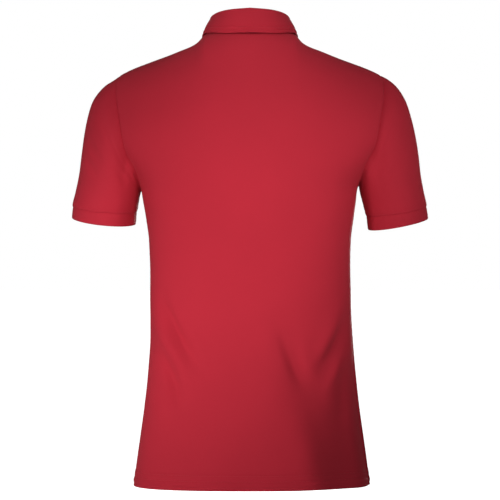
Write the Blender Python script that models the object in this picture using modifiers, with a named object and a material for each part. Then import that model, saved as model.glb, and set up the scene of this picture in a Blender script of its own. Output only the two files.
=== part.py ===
"""A short-sleeved polo shirt, filled out as if it were worn, with nobody in it.

+Z is up, the front of the shirt faces -Y and the wearer's left is +X. The origin is the
centre of the neck opening, level with the neck ends of the shoulder seams.

The cloth is one smooth form, worked out from tables of sizes. Each piece that a maker would
cut is a grid of points on that form, and its wall is made between the grid and the same
grid moved inwards. Pieces that are sewn together share the points of their seam, and each
is then drawn back from it by half of the seam's gap.
"""

import math
from collections import namedtuple

import bmesh
import bpy
import numpy as np

# ---------------------------------------------------------------------------
# Driving dimensions, in metres
# ---------------------------------------------------------------------------

CLOTH = 0.0015  # wall of the body and sleeve cloth
RIB = 0.0020  # wall of the flat-knit collar and cuffs
SEAM_GAP = 0.0004  # between two pieces at a seam
LAY_GAP = 0.0004  # between a piece and what lies on it

ARM_LEVEL = -0.238  # above this level the body rounds in towards the shoulders
SHOULDER_X = 0.208  # outer end of the shoulder seam
NECK_X = 0.071  # neck end of the shoulder seam
NECK_Z = {"back": 0.012, "front": -0.072}  # neck seam at the centre

PLACKET_HALF = 0.0165
PLACKET_LENGTH = 0.150
SLIT_HALF = 0.0125  # half of the width cut out of the front under the placket
BUTTON_RADIUS = 0.0055
BUTTON_THICK = 0.0026
BUTTON_DROP = 0.015  # from the neck seam to the first button
BUTTON_PITCH = 0.054
BUTTON_HOLE_RADIUS = 0.0009
BUTTON_HOLE_OUT = 0.0016  # from the button's centre to a hole's centre
# A button's section, in shares of its radius and thickness.
ButtonPoint = namedtuple("ButtonPoint", "out height")
BUTTON = [
    ButtonPoint(0.00, 0.72),
    ButtonPoint(0.62, 0.72),
    ButtonPoint(0.74, 1.00),
    ButtonPoint(0.92, 1.00),
    ButtonPoint(1.00, 0.75),
    ButtonPoint(1.00, 0.25),
    ButtonPoint(0.90, 0.00),
    ButtonPoint(0.00, 0.00),
]

COLLAR_FOLD_RADIUS = 0.0040
COLLAR_END_X = 0.0010  # the collar's two ends stop this far from the centre front
NECK_GAP = 0.0013  # from the middle of the body's wall to the middle of the collar's
FALL_BULGE = 0.0015  # how far the fall is rounded out between its fold and its edge

# How many steps each stretch is cut into.
BODY_ROWS = 20  # hem to armpit
ARM_ROWS = 10  # armpit to shoulder point
SHOULDER_ROWS = 7  # shoulder point to neck
SIDE_COLUMNS = 13  # centre strip to the panel's edge
PLACKET_COLUMNS = 4  # points across the placket
FOLD_STEPS = 4  # round the collar's fold
FALL_STEPS = 4  # from the fold to the fall's edge
BUTTON_STEPS = 16
HOLE_SIDES = 6

# How the panels' rows of points run from their ends to the centre, which is level.
CROSSING_Z = {"back": -0.050, "front": -0.118}  # centre of the row from the shoulder point
ROW_LIFT = 2.0  # exponent of a row's rise towards its ends
NECK_LIFT = 3.2  # the same at the neck, where it shapes the neckline
ARM_SPREAD = 1.5  # over 1, the armhole's points are closer towards its two ends
SHOULDER_SPREAD = 1.35  # over 1, the shoulder seam's points are closer towards the neck

Section = namedtuple("Section", "z half_width back front centre")
BODY = [
    Section(-0.711, 0.1888, 0.1180, 0.1180, -0.0032),
    Section(-0.672, 0.1840, 0.1165, 0.1165, -0.0032),
    Section(-0.640, 0.1796, 0.1140, 0.1155, -0.0032),
    Section(-0.576, 0.1708, 0.1050, 0.1130, -0.0032),
    Section(-0.512, 0.1644, 0.0950, 0.1110, -0.0030),
    Section(-0.464, 0.1612, 0.0900, 0.1100, -0.0026),
    Section(-0.416, 0.1600, 0.0885, 0.1100, -0.0016),
    Section(-0.368, 0.1600, 0.0920, 0.1115, -0.0005),
    Section(-0.320, 0.1614, 0.0990, 0.1150, 0.0000),
    Section(-0.288, 0.1656, 0.1045, 0.1185, 0.0002),
    Section(-0.256, 0.1704, 0.1090, 0.1210, 0.0008),
    Section(-0.240, 0.1726, 0.1105, 0.1220, 0.0012),
    Section(-0.220, 0.1815, 0.1120, 0.1230, 0.0010),
    Section(-0.200, 0.1975, 0.1130, 0.1230, 0.0006),
    Section(-0.180, 0.2130, 0.1135, 0.1230, 0.0003),
    Section(-0.155, 0.2270, 0.1140, 0.1225, 0.0000),
    Section(-0.125, 0.2335, 0.1140, 0.1215, 0.0000),
    Section(-0.090, 0.2340, 0.1125, 0.1200, 0.0000),
    Section(-0.040, 0.2340, 0.1090, 0.1180, 0.0000),
    Section(0.030, 0.2340, 0.1050, 0.1170, 0.0000),
]
HEM_Z = BODY[0].z
ROUNDNESS = 2.6  # exponent of the body's sections: 2 is an ellipse, more is squarer

# The top of the form over each distance from the centre. The shoulder seam lies on it.
Ridge = namedtuple("Ridge", "x back front")
RIDGE = [
    Ridge(0.000, 0.0204, -0.0430),
    Ridge(0.030, 0.0187, -0.0420),
    Ridge(0.040, 0.0166, -0.0385),
    Ridge(0.050, 0.0140, -0.0300),
    Ridge(0.060, 0.0114, -0.0152),
    Ridge(0.066, 0.0094, -0.0030),
    Ridge(0.071, 0.0080, 0.0080),
    Ridge(0.078, 0.0012, 0.0012),
    Ridge(0.084, -0.0050, -0.0050),
    Ridge(0.096, -0.0120, -0.0120),
    Ridge(0.112, -0.0184, -0.0184),
    Ridge(0.135, -0.0274, -0.0274),
    Ridge(0.160, -0.0366, -0.0366),
    Ridge(0.190, -0.0480, -0.0480),
    Ridge(0.208, -0.0565, -0.0565),
    Ridge(0.240, -0.0720, -0.0720),
]
# The same well below the neck, where the cloth no longer follows the neck's corners.
SMOOTH_RIDGE = [
    Ridge(0.000, 0.0120, -0.0400),
    Ridge(0.030, 0.0098, -0.0370),
    Ridge(0.060, 0.0030, -0.0275),
    Ridge(0.080, -0.0050, -0.0210),
    Ridge(0.096, -0.0115, -0.0198),
    Ridge(0.112, -0.0184, -0.0212),
    Ridge(0.135, -0.0274, -0.0276),
    Ridge(0.160, -0.0366, -0.0366),
    Ridge(0.190, -0.0480, -0.0480),
    Ridge(0.208, -0.0565, -0.0565),
    Ridge(0.240, -0.0720, -0.0720),
]
RIDGE_DROP = 0.090  # how far below the ridge its corners have faded out
# Exponent of the rounding towards the ridge, at the centre and at the shoulder point.
CREST_CENTRE = {"back": 3.2, "front": 2.6}
CREST_SHOULDER = {"back": 2.0, "front": 2.1}

ARMPIT_Z = {"left": -0.2430, "right": -0.2345}
# How far the armhole lies out from the armpit, by how far up it one is.
Armhole = namedtuple("Armhole", "rise back front")
ARMHOLE = [
    Armhole(0.00, 0.0000, 0.0000),
    Armhole(0.05, 0.0016, 0.0010),
    Armhole(0.14, 0.0064, 0.0034),
    Armhole(0.21, 0.0125, 0.0072),
    Armhole(0.28, 0.0205, 0.0122),
    Armhole(0.39, 0.0264, 0.0172),
    Armhole(0.48, 0.0295, 0.0202),
    Armhole(0.59, 0.0327, 0.0237),
    Armhole(0.70, 0.0365, 0.0277),
    Armhole(0.82, 0.0395, 0.0317),
    Armhole(0.91, 0.0397, 0.0340),
    Armhole(1.00, 0.0352, 0.0352),
]

# The sleeve's upper and lower edges as seen from behind, its half depth from front to
# back, how far it swings forward and how much lower its back is than its front.
Ring = namedtuple("Ring", "station out_x out_z in_x in_z depth forward drop")
SLEEVE = {
    "left": [
        Ring(0.00, 0.2080, -0.0565, 0.1728, -0.2430, 0.0670, 0.006, 0.000),
        Ring(0.05, 0.2184, -0.0640, 0.1742, -0.2434, 0.0670, 0.006, 0.000),
        Ring(0.11, 0.2312, -0.0722, 0.1752, -0.2460, 0.0668, 0.006, 0.000),
        Ring(0.18, 0.2428, -0.0840, 0.1758, -0.2484, 0.0662, 0.007, 0.001),
        Ring(0.26, 0.2524, -0.0990, 0.1764, -0.2508, 0.0655, 0.007, 0.001),
        Ring(0.36, 0.2600, -0.1230, 0.1770, -0.2540, 0.0642, 0.008, 0.002),
        Ring(0.48, 0.2656, -0.1510, 0.1777, -0.2575, 0.0625, 0.009, 0.003),
        Ring(0.61, 0.2700, -0.1830, 0.1784, -0.2615, 0.0600, 0.010, 0.004),
        Ring(0.74, 0.2738, -0.2130, 0.1791, -0.2658, 0.0577, 0.011, 0.005),
        Ring(0.87, 0.2798, -0.2420, 0.1797, -0.2700, 0.0557, 0.012, 0.006),
        Ring(1.00, 0.2852, -0.2655, 0.1803, -0.2745, 0.0545, 0.013, 0.007),
        Ring(1.10, 0.2860, -0.2838, 0.1830, -0.2946, 0.0540, 0.014, 0.008),
    ],
    "right": [
        Ring(0.00, 0.2080, -0.0560, 0.1720, -0.2345, 0.0670, 0.006, 0.000),
        Ring(0.05, 0.2184, -0.0612, 0.1736, -0.2350, 0.0670, 0.006, 0.000),
        Ring(0.11, 0.2312, -0.0710, 0.1745, -0.2385, 0.0668, 0.006, 0.000),
        Ring(0.18, 0.2410, -0.0826, 0.1752, -0.2420, 0.0662, 0.007, 0.001),
        Ring(0.26, 0.2496, -0.0980, 0.1760, -0.2455, 0.0655, 0.007, 0.001),
        Ring(0.36, 0.2580, -0.1230, 0.1773, -0.2505, 0.0642, 0.008, 0.002),
        Ring(0.48, 0.2648, -0.1510, 0.1789, -0.2560, 0.0625, 0.009, 0.003),
        Ring(0.61, 0.2702, -0.1830, 0.1806, -0.2622, 0.0600, 0.010, 0.004),
        Ring(0.74, 0.2736, -0.2130, 0.1822, -0.2684, 0.0577, 0.011, 0.005),
        Ring(0.87, 0.2788, -0.2420, 0.1838, -0.2746, 0.0557, 0.012, 0.006),
        Ring(1.00, 0.2840, -0.2650, 0.1853, -0.2808, 0.0545, 0.013, 0.006),
        Ring(1.10, 0.2862, -0.2848, 0.1890, -0.3032, 0.0540, 0.014, 0.006),
    ],
}
SLEEVE_STATIONS = [0.00, 0.05, 0.11, 0.18, 0.26, 0.37, 0.49, 0.62, 0.75, 0.88, 1.00]
CUFF_STATIONS = [1.00, 1.035, 1.07, 1.10]
CUFF_PINCH = 0.0012  # how far the cuff's seam is drawn in
ARMHOLE_FADE = 2.5  # exponent of the armhole's fading out down the sleeve

# The collar, by the angle round the neck from the centre back. The fold columns place the
# centre of the fold's round, and the edge columns the fall's free edge.
Collar = namedtuple("Collar", "angle fold_x fold_y fold_z edge_x edge_y edge_z")
COLLAR = [
    Collar(0, 0.0000, 0.0488, 0.0422, 0.0000, 0.0645, 0.0088),
    Collar(30, 0.0311, 0.0399, 0.0404, 0.0388, 0.0535, 0.0084),
    Collar(60, 0.0529, 0.0166, 0.0366, 0.0668, 0.0250, 0.0080),
    Collar(79, 0.0596, -0.0025, 0.0315, 0.0745, 0.0010, 0.0070),
    Collar(100, 0.0590, -0.0244, 0.0200, 0.0770, -0.0290, 0.0030),
    Collar(120, 0.0522, -0.0438, -0.0010, 0.0760, -0.0515, -0.0068),
    Collar(131, 0.0460, -0.0530, -0.0140, 0.0740, -0.0635, -0.0198),
    Collar(142, 0.0370, -0.0610, -0.0265, 0.0692, -0.0748, -0.0380),
    Collar(153, 0.0270, -0.0668, -0.0380, 0.0605, -0.0850, -0.0590),
    Collar(180, 0.0000, -0.0722, -0.0500, 0.0365, -0.0985, -0.0970),
]
NECK_CENTRE_Y = -0.014
FALL_CLEARANCE = 0.0030  # from the body's surface to the middle of the fall

# The largest folds: a ridge or a hollow along a line, as wide as its cloth turns.
FOLD_FADE = 6.0  # exponent of the folds' fading out at the side seams
Fold = namedtuple("Fold", "x0 z0 x1 z1 width height")
FOLDS = {
    "back": [
        Fold(-0.116, -0.560, -0.150, -0.711, 0.054, -0.0170),
        Fold(0.143, -0.432, 0.098, -0.560, 0.015, 0.0045),
        Fold(0.122, -0.445, 0.068, -0.545, 0.015, -0.0030),
        Fold(-0.045, -0.462, -0.082, -0.552, 0.015, -0.0035),
        Fold(-0.145, -0.432, -0.092, -0.522, 0.015, 0.0040),
        Fold(-0.138, -0.475, -0.112, -0.520, 0.014, -0.0040),
    ],
    "front": [
        Fold(0.125, -0.395, 0.065, -0.470, 0.018, -0.0035),
        Fold(-0.130, -0.410, -0.060, -0.500, 0.018, -0.0040),
        Fold(0.100, -0.560, 0.128, -0.711, 0.045, -0.0080),
        Fold(-0.070, -0.600, -0.085, -0.711, 0.040, -0.0060),
    ],
}

RED = (0.52, 0.022, 0.040, 1.0)
BUTTON_RED = (0.40, 0.015, 0.028, 1.0)

SIDE = {"left": 1.0, "right": -1.0}
FACING = {"back": 1.0, "front": -1.0}


# ---------------------------------------------------------------------------
# Tables and directions
# ---------------------------------------------------------------------------


def along(table, column, place):
    """A table's column at a place in its first column, on a smooth curve through the rows."""
    at = np.array([row[0] for row in table], float)
    value = np.array([getattr(row, column) for row in table], float)
    secant = np.diff(value) / np.diff(at)
    product = secant[:-1] * secant[1:]
    total = np.where(product > 0.0, secant[:-1] + secant[1:], 1.0)
    between = np.where(product > 0.0, 2.0 * product / total, 0.0)
    slope = np.concatenate([secant[:1], between, secant[-1:]])
    place = np.clip(place, at[0], at[-1])
    k = np.clip(np.searchsorted(at, place, side="right") - 1, 0, len(at) - 2)
    step = at[k + 1] - at[k]
    t = (place - at[k]) / step
    start = (2 * t**3 - 3 * t**2 + 1) * value[k] + (t**3 - 2 * t**2 + t) * step * slope[k]
    end = (3 * t**2 - 2 * t**3) * value[k + 1] + (t**3 - t**2) * step * slope[k + 1]
    return start + end


def unit(vectors):
    length = np.linalg.norm(vectors, axis=-1, keepdims=True)
    return vectors / np.maximum(length, 1e-12)


# ---------------------------------------------------------------------------
# The body's form
# ---------------------------------------------------------------------------


def round_off(share, exponent):
    """A superellipse: 1 where share is 0, and 0 where it is 1."""
    return np.clip(1.0 - np.clip(share, 0.0, 1.0) ** exponent, 0.0, 1.0) ** (1.0 / exponent)


def crest(x, face):
    """The exponent of the rounding towards the ridge, at a distance from the centre."""
    share = np.clip(np.abs(x) / SHOULDER_X, 0.0, 1.0)
    return CREST_CENTRE[face] + (CREST_SHOULDER[face] - CREST_CENTRE[face]) * share


def ridge_height(x, z, face):
    """The height that the cloth rounds in towards, from a place on it."""
    sharp = along(RIDGE, face, np.abs(x))
    smooth = along(SMOOTH_RIDGE, face, np.abs(x))
    share = np.clip((sharp - z) / RIDGE_DROP, 0.0, 1.0)
    return sharp + (smooth - sharp) * share**2 * (3.0 - 2.0 * share)


def fold_height(x, z, face):
    """How far the largest folds move the cloth outwards."""
    height = np.zeros(np.broadcast(x, z).shape)
    for fold in FOLDS[face]:
        run_x, run_z = fold.x1 - fold.x0, fold.z1 - fold.z0
        share = ((x - fold.x0) * run_x + (z - fold.z0) * run_z) / (run_x**2 + run_z**2)
        share = np.clip(share, 0.0, 1.0)
        off = np.hypot(x - fold.x0 - share * run_x, z - fold.z0 - share * run_z)
        height = height + fold.height * np.exp(-((off / fold.width) ** 2))
    return height


def body_depth(x, z, face):
    """How far the body's surface stands out from the plane of the side seams."""
    across = np.abs(x - along(BODY, "centre", z)) / along(BODY, "half_width", z)
    up = (z - ARM_LEVEL) / (ridge_height(x, z, face) - ARM_LEVEL)
    flat = round_off(across, ROUNDNESS) * round_off(up, crest(x, face))
    fade = round_off(across, FOLD_FADE)
    return along(BODY, face, z) * flat + fade * fold_height(x, z, face)


def body_top(x, y):
    """The height of the body's surface near the neck, over a place in plan."""
    face = "back" if y > 0.0 else "front"
    rounding = round_off(abs(y) / along(BODY, face, NECK_Z["back"]), crest(x, face))
    top = NECK_Z["back"]
    for _ in range(4):  # the ridge depends a little on the height
        top = ARM_LEVEL + (ridge_height(x, top, face) - ARM_LEVEL) * rounding
    return float(top)


# ---------------------------------------------------------------------------
# The panels' grids
# ---------------------------------------------------------------------------


def side_point(share, side):
    """Where the side seam is, from the hem at 0 to the armpit at 1."""
    z = HEM_Z + share * (ARMPIT_Z[side] - HEM_Z)
    x = along(BODY, "centre", z) + SIDE[side] * along(BODY, "half_width", z)
    return float(x), z


def armhole_point(share, side, face):
    """Where the armhole is, from the armpit at 0 to the shoulder point at 1."""
    x, z = side_point(1.0, side)
    low, high = share**ARM_SPREAD, 1.0 - (1.0 - share) ** ARM_SPREAD
    rise = low + (high - low) * share
    out = along(ARMHOLE, face, rise)
    reach = (SHOULDER_X - abs(x)) / ARMHOLE[-1].back
    top = along(RIDGE, "back", SHOULDER_X)
    return SIDE[side] * (abs(x) + out * reach), z + rise * (top - z)


def shoulder_point(share, side):
    """Where the shoulder seam is, from the shoulder point at 0 to the neck at 1."""
    x = NECK_X + (SHOULDER_X - NECK_X) * (1.0 - share) ** SHOULDER_SPREAD
    return SIDE[side] * x, along(RIDGE, "back", x)


def row_plan(face):
    """For each row of a panel: its two ends, its height at the centre and how fast it lifts."""
    crossing, neck = CROSSING_Z[face], NECK_Z[face]
    level = (ARMPIT_Z["left"] + ARMPIT_Z["right"]) / 2
    rows = []
    for share in np.arange(BODY_ROWS) / BODY_ROWS:
        ends = [side_point(share, side) for side in SIDE]
        rows.append((*ends, HEM_Z + share * (level - HEM_Z), ROW_LIFT))
    for share in np.arange(ARM_ROWS) / ARM_ROWS:
        ends = [armhole_point(share, side, face) for side in SIDE]
        rows.append((*ends, level + share * (crossing - level), ROW_LIFT))
    for share in np.linspace(0.0, 1.0, SHOULDER_ROWS + 1):
        ends = [shoulder_point(share, side) for side in SIDE]
        lift = ROW_LIFT + (NECK_LIFT - ROW_LIFT) * share
        rows.append((*ends, crossing + share * (neck - crossing), lift))
    return rows


def row_points(row, x, face):
    """Points of a panel's row at the given places across."""
    left, right, middle, lift = row
    x = np.asarray(x, float)
    end_x = np.where(x >= 0.0, left[0], -right[0])
    end_z = np.where(x >= 0.0, left[1], right[1])
    z = middle + (end_z - middle) * np.clip(np.abs(x) / end_x, 0.0, 1.0) ** lift
    y = FACING[face] * body_depth(x, z, face)
    return np.stack([x, y, z], axis=-1)


def columns(row):
    """Places across a row: a centre strip of even width, then closer towards the ends."""
    swing = np.sin(np.linspace(0.0, math.pi / 2, SIDE_COLUMNS + 1))
    left = SLIT_HALF + (row[0][0] - SLIT_HALF) * swing
    right = -SLIT_HALF + (row[1][0] + SLIT_HALF) * swing
    return np.concatenate([left[::-1], right])


def panel_grid(face):
    """A panel's points, from hem to neck and from the wearer's left to the right."""
    grid = np.array([row_points(row, columns(row), face) for row in row_plan(face)])
    for column in (0, -1):
        grid[: BODY_ROWS + 1, column, 1] = 0.0  # the side seam
        grid[BODY_ROWS + ARM_ROWS :, column, 1] = 0.0  # the shoulder seam
    return grid


# ---------------------------------------------------------------------------
# The sleeves' grids
# ---------------------------------------------------------------------------


def armhole_loop(panels, side):
    """The armhole's points, from the shoulder point down the back and up the front."""
    column = 0 if side == "left" else -1
    arm = slice(BODY_ROWS, BODY_ROWS + ARM_ROWS + 1)
    back = panels["back"][arm, column][::-1]
    front = panels["front"][arm, column]
    return np.concatenate([back, front[1:-1]])


def loop_angles(loop):
    """An angle for each point of the armhole, by the length of cloth up to it."""
    step = np.linalg.norm(np.diff(loop, axis=0, append=loop[:1]), axis=1)
    length = np.concatenate([[0.0], np.cumsum(step)])
    half = ARM_ROWS
    back = math.pi * length[: half + 1] / length[half]
    front = math.pi + math.pi * (length[half:-1] - length[half]) / (length[-1] - length[half])
    return np.concatenate([back, front[1:]])


def sleeve_ring(side, station, angles):
    """An oval across the sleeve, through its upper and lower edges."""
    size = {name: float(along(SLEEVE[side], name, station)) for name in Ring._fields[1:]}
    top = np.array([SIDE[side] * size["out_x"], -size["forward"], size["out_z"]])
    low = np.array([SIDE[side] * size["in_x"], -size["forward"], size["in_z"]])
    if station < 1e-9:
        top[1] = low[1] = 0.0
    across = np.array([0.0, size["depth"], -size["drop"]])
    cosine, sine = np.cos(angles)[:, None], np.sin(angles)[:, None]
    return (top + low) / 2 + (top - low) / 2 * cosine + across * sine


def sleeve_grid(panels, side, stations):
    """The sleeve's rings, which start as the armhole and turn into ovals."""
    loop = armhole_loop(panels, side)
    angles = loop_angles(loop)
    away = loop - sleeve_ring(side, 0.0, angles)
    rings = []
    for station in stations:
        ease = max(0.0, 1.0 - station) ** ARMHOLE_FADE
        rings.append(sleeve_ring(side, station, angles) + ease * away)
    return np.array(rings)


# ---------------------------------------------------------------------------
# Walls
# ---------------------------------------------------------------------------


def facet_normals(grid, closed):
    """The direction out of the cloth at each of a grid's points."""
    if closed:
        wide = np.concatenate([grid[:, -1:], grid, grid[:, :1]], axis=1)
        across = np.gradient(wide, axis=1)[:, 1:-1]
    else:
        across = np.gradient(grid, axis=1)
    return unit(np.cross(across, np.gradient(grid, axis=0)))


def key(point):
    return tuple(np.round(point * 1e5).astype(int))


def shared_normals(sheets):
    """The directions out of the whole shirt, the same for all pieces at a shared point."""
    total = {}
    for grid, closed, turn in sheets.values():
        for point, normal in zip(grid.reshape(-1, 3), facet_normals(grid, closed).reshape(-1, 3)):
            total[key(point)] = total.get(key(point), 0.0) + turn * normal
    normals = {}
    for name, (grid, _, _) in sheets.items():
        sums = [total[key(point)] for point in grid.reshape(-1, 3)]
        normals[name] = unit(np.array(sums)).reshape(grid.shape)
    return normals


def inset(edge, inside, normals, closed):
    """The moves that draw a seam's edge back into its piece by half of the seam's gap."""
    step = np.roll(edge, -1, axis=0) - edge
    inward = unit(np.cross(step, normals + np.roll(normals, -1, axis=0)))
    if not closed:
        inward[-1] = inward[-2]
    before = np.roll(inward, 1, axis=0)
    if not closed:
        before[0] = inward[0]
    if np.sum(inward * (inside - edge)) < 0.0:
        inward, before = -inward, -before
    share = 1.0 + np.sum(inward * before, axis=1, keepdims=True)
    return SEAM_GAP / 2 * (inward + before) / np.maximum(share, 0.5)


def ring_moves(grid, rows):
    """The moves of a tube's sewn rings. Each row comes with the row beside it."""
    moves = np.zeros(grid.shape)
    normals = facet_normals(grid, True)
    for row, beside in rows:
        moves[row] = inset(grid[row], grid[beside], normals[row], True)
    return moves


def panel_moves(grid):
    """The moves of a panel's sewn edges: up one side, across the neck and down the other."""
    last_row, last = grid.shape[0] - 1, grid.shape[1] - 1
    path = [(i, 0) for i in range(last_row)]
    path += [(last_row, j) for j in range(last + 1)]
    path += [(i, last) for i in reversed(range(last_row))]
    row, column = np.array(path).T
    beside = np.minimum(row, last_row - 1), np.clip(column, 1, last - 1)
    normals = facet_normals(grid, False)
    moves = np.zeros(grid.shape)
    moves[row, column] = inset(grid[row, column], grid[beside], normals[row, column], False)
    return moves


def grid_faces(grid, closed, kept):
    """A grid's cells as triangles of corner places, and the edges that only one has."""
    rows, count = grid.shape[:2]
    cells = []
    for i in range(rows - 1):
        for j in range(count if closed else count - 1):
            if not kept(i, j):
                continue
            a, b = (i, j), (i, (j + 1) % count)
            c, d = (i + 1, (j + 1) % count), (i + 1, j)
            if np.linalg.norm(grid[a] - grid[c]) <= np.linalg.norm(grid[b] - grid[d]):
                cells += [[a, b, c], [a, c, d]]
            else:
                cells += [[a, b, d], [b, c, d]]
    sides = {}
    for cell in cells:
        for start, end in zip(cell, cell[1:] + cell[:1]):
            sides[(start, end)] = True
    rim = [edge for edge in sides if (edge[1], edge[0]) not in sides]
    return cells, rim


def wall(name, outer, inner, closed=False, kept=lambda i, j: True):
    """A closed solid between two matching grids of points."""
    cells, rim = grid_faces(outer, closed, kept)
    used = sorted({place for cell in cells for place in cell})
    number = {place: k for k, place in enumerate(used)}
    points = [outer[place] for place in used] + [inner[place] for place in used]
    faces = [[number[place] for place in cell] for cell in cells]
    faces += [[number[place] + len(used) for place in cell[::-1]] for cell in cells]
    for start, end in rim:
        a, b = number[start], number[end]
        if outer[start][2] < outer[end][2]:
            faces += [[b, a, b + len(used)], [a, a + len(used), b + len(used)]]
        else:
            faces += [[b, a, a + len(used)], [b, a + len(used), b + len(used)]]
    mesh = bpy.data.meshes.new(name)
    mesh.from_pydata([tuple(point) for point in points], [], faces)
    mesh.validate()
    turn_out(mesh)
    return add_piece(name, mesh)


def turn_out(mesh):
    """Turns every face of a closed mesh outwards."""
    work = bmesh.new()
    work.from_mesh(mesh)
    bmesh.ops.recalc_face_normals(work, faces=work.faces)
    work.to_mesh(mesh)
    work.free()


def add_piece(name, mesh):
    piece = bpy.data.objects.new(name, mesh)
    bpy.data.collections["polo_shirt"].objects.link(piece)
    mesh.shade_smooth()
    mesh.set_sharp_from_angle(angle=math.radians(35))
    return piece


# ---------------------------------------------------------------------------
# Pieces
# ---------------------------------------------------------------------------


def placket_foot():
    """The front panel's row that is level with the placket's lower end."""
    levels = np.array([row[2] for row in row_plan("front")])
    return int(np.argmin(np.abs(levels - NECK_Z["front"] + PLACKET_LENGTH)))


def make_panel(face, grid, normals):
    """A body panel. The front's is cut open from the neck to the placket's foot."""
    slit = range(placket_foot(), len(grid)) if face == "front" else ()

    def kept(i, j):
        return j != SIDE_COLUMNS or i not in slit

    outer = grid + panel_moves(grid)
    return wall(f"{face}_panel", outer, outer - CLOTH * normals, kept=kept)


def make_sleeve(side, grid, normals):
    outer = grid + ring_moves(grid, [(0, 1), (-1, -2)])
    return wall(f"sleeve_{side}", outer, outer - CLOTH * normals, closed=True)


def make_cuff(side, grid, normals):
    pinch = CUFF_PINCH * np.linspace(1.0, 0.0, len(grid))[:, None, None]
    outer = grid + ring_moves(grid, [(0, 1)]) - pinch * normals
    return wall(f"cuff_{side}", outer, outer - RIB * normals, closed=True)


def make_placket(name, out, first):
    """One of the placket's two bands, from the front panel's own rows moved out or in."""
    across = np.linspace(PLACKET_HALF, -PLACKET_HALF, PLACKET_COLUMNS)
    grid = np.array([row_points(row, across, "front") for row in row_plan("front")[first:]])
    grid[-1, :, 2] -= SEAM_GAP / 2
    normals = -facet_normals(grid, False)
    return wall(name, grid + (out + CLOTH) * normals, grid + out * normals)


def neck_stations(panels, walls):
    """The neck seam's points under the collar, from the right end round the back to the left."""
    count = 2 * SIDE_COLUMNS + 2
    half = SIDE_COLUMNS + 1
    middles, ups = [], []
    for face, picks in (
        ("front", range(half, count)),
        ("back", range(count - 2, 0, -1)),
        ("front", range(0, half)),
    ):
        outer, inner = panels[face], walls[face]
        for j in picks:
            middles.append((outer[-1, j] + inner[-1, j]) / 2)
            ups.append(outer[-1, j] - outer[-2, j])
    middles, ups = np.array(middles), np.array(ups)
    tangent = unit(np.gradient(middles, axis=0))
    ups = unit(ups - tangent * np.sum(ups * tangent, axis=1, keepdims=True))
    stations = middles + NECK_GAP * ups
    first, last = stations[0].copy(), stations[-1].copy()
    first[0], last[0] = -COLLAR_END_X, COLLAR_END_X
    return np.concatenate([[first], stations, [last]])


def collar_profile(base):
    """Across the collar at one station: up the stand, over the fold and down the fall."""
    side = 1.0 if base[0] >= 0.0 else -1.0
    angle = math.degrees(math.atan2(abs(base[0]), base[1] - NECK_CENTRE_Y))
    size = {name: float(along(COLLAR, name, angle)) for name in Collar._fields[1:]}
    fold = np.array([side * size["fold_x"], size["fold_y"], size["fold_z"]])
    edge = np.array([side * size["edge_x"], size["edge_y"], size["edge_z"]])
    out = unit(fold - np.array([0.0, NECK_CENTRE_Y, fold[2]]))
    up = np.array([0.0, 0.0, 1.0])
    turn = np.linspace(math.pi, 0.0, FOLD_STEPS + 1)
    arc = [fold + COLLAR_FOLD_RADIUS * (math.cos(a) * out + math.sin(a) * up) for a in turn]
    stand = [base, (base + arc[0]) / 2]
    fall = []
    for share in np.arange(1, FALL_STEPS + 1) / FALL_STEPS:
        point = arc[-1] + (edge - arc[-1]) * share + FALL_BULGE * math.sin(math.pi * share) * out
        point[2] = max(point[2], body_top(point[0], point[1]) + FALL_CLEARANCE)
        fall.append(point)
    return stand + arc + fall


def make_collar(panels, walls):
    middle = np.array([collar_profile(base) for base in neck_stations(panels, walls)])
    middle = middle.transpose(1, 0, 2)
    normals = facet_normals(middle, False)
    return wall("collar", middle + RIB / 2 * normals, middle - RIB / 2 * normals)


def make_button(name, drop):
    """A four-hole button, turned from its section, on the outer band of the placket."""
    z = NECK_Z["front"] - drop
    levels = np.array([z - BUTTON_RADIUS, z, z + BUTTON_RADIUS])
    depth = body_depth(np.zeros(3), levels, "front")
    tilt = math.atan2(depth[0] - depth[2], 2 * BUTTON_RADIUS)
    out = np.array([0.0, -math.cos(tilt), math.sin(tilt)])
    points = [(BUTTON_RADIUS * row.out, 0.0, BUTTON_THICK * row.height) for row in BUTTON]
    mesh = bpy.data.meshes.new(name)
    mesh.from_pydata(points, [(k, k + 1) for k in range(len(points) - 1)], [])
    button = add_piece(name, mesh)
    screw = button.modifiers.new("turned", "SCREW")
    screw.axis = "Z"
    screw.steps = screw.render_steps = BUTTON_STEPS
    screw.use_merge_vertices = True
    screw.merge_threshold = 0.00001
    for k in range(4):
        drill(button, k)
    button.location = np.array([0.0, -depth[1], z]) + (CLOTH + 2 * LAY_GAP) * out
    button.rotation_euler = (math.pi / 2 - tilt, 0.0, 0.0)
    return button


def drill(button, k):
    """One of the button's sewing holes."""
    turn = math.pi / 4 + k * math.pi / 2
    bpy.ops.mesh.primitive_cylinder_add(
        vertices=HOLE_SIDES,
        radius=BUTTON_HOLE_RADIUS,
        depth=4 * BUTTON_THICK,
        location=(BUTTON_HOLE_OUT * math.cos(turn), BUTTON_HOLE_OUT * math.sin(turn), 0.0),
    )
    cutter = bpy.context.object
    cutter.name = f"{button.name}_hole_{k + 1}"
    cutter.hide_render = True
    cutter.display_type = "WIRE"
    cutter.parent = button
    for collection in list(cutter.users_collection):
        collection.objects.unlink(cutter)
    bpy.data.collections["cutters"].objects.link(cutter)
    cut = button.modifiers.new(f"hole_{k + 1}", "BOOLEAN")
    cut.operation = "DIFFERENCE"
    cut.object = cutter


def material(name, colour, roughness):
    made = bpy.data.materials.new(name)
    made.use_nodes = True
    shader = made.node_tree.nodes["Principled BSDF"]
    shader.inputs["Base Color"].default_value = colour
    shader.inputs["Roughness"].default_value = roughness
    shader.inputs["Metallic"].default_value = 0.0
    return made


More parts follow.
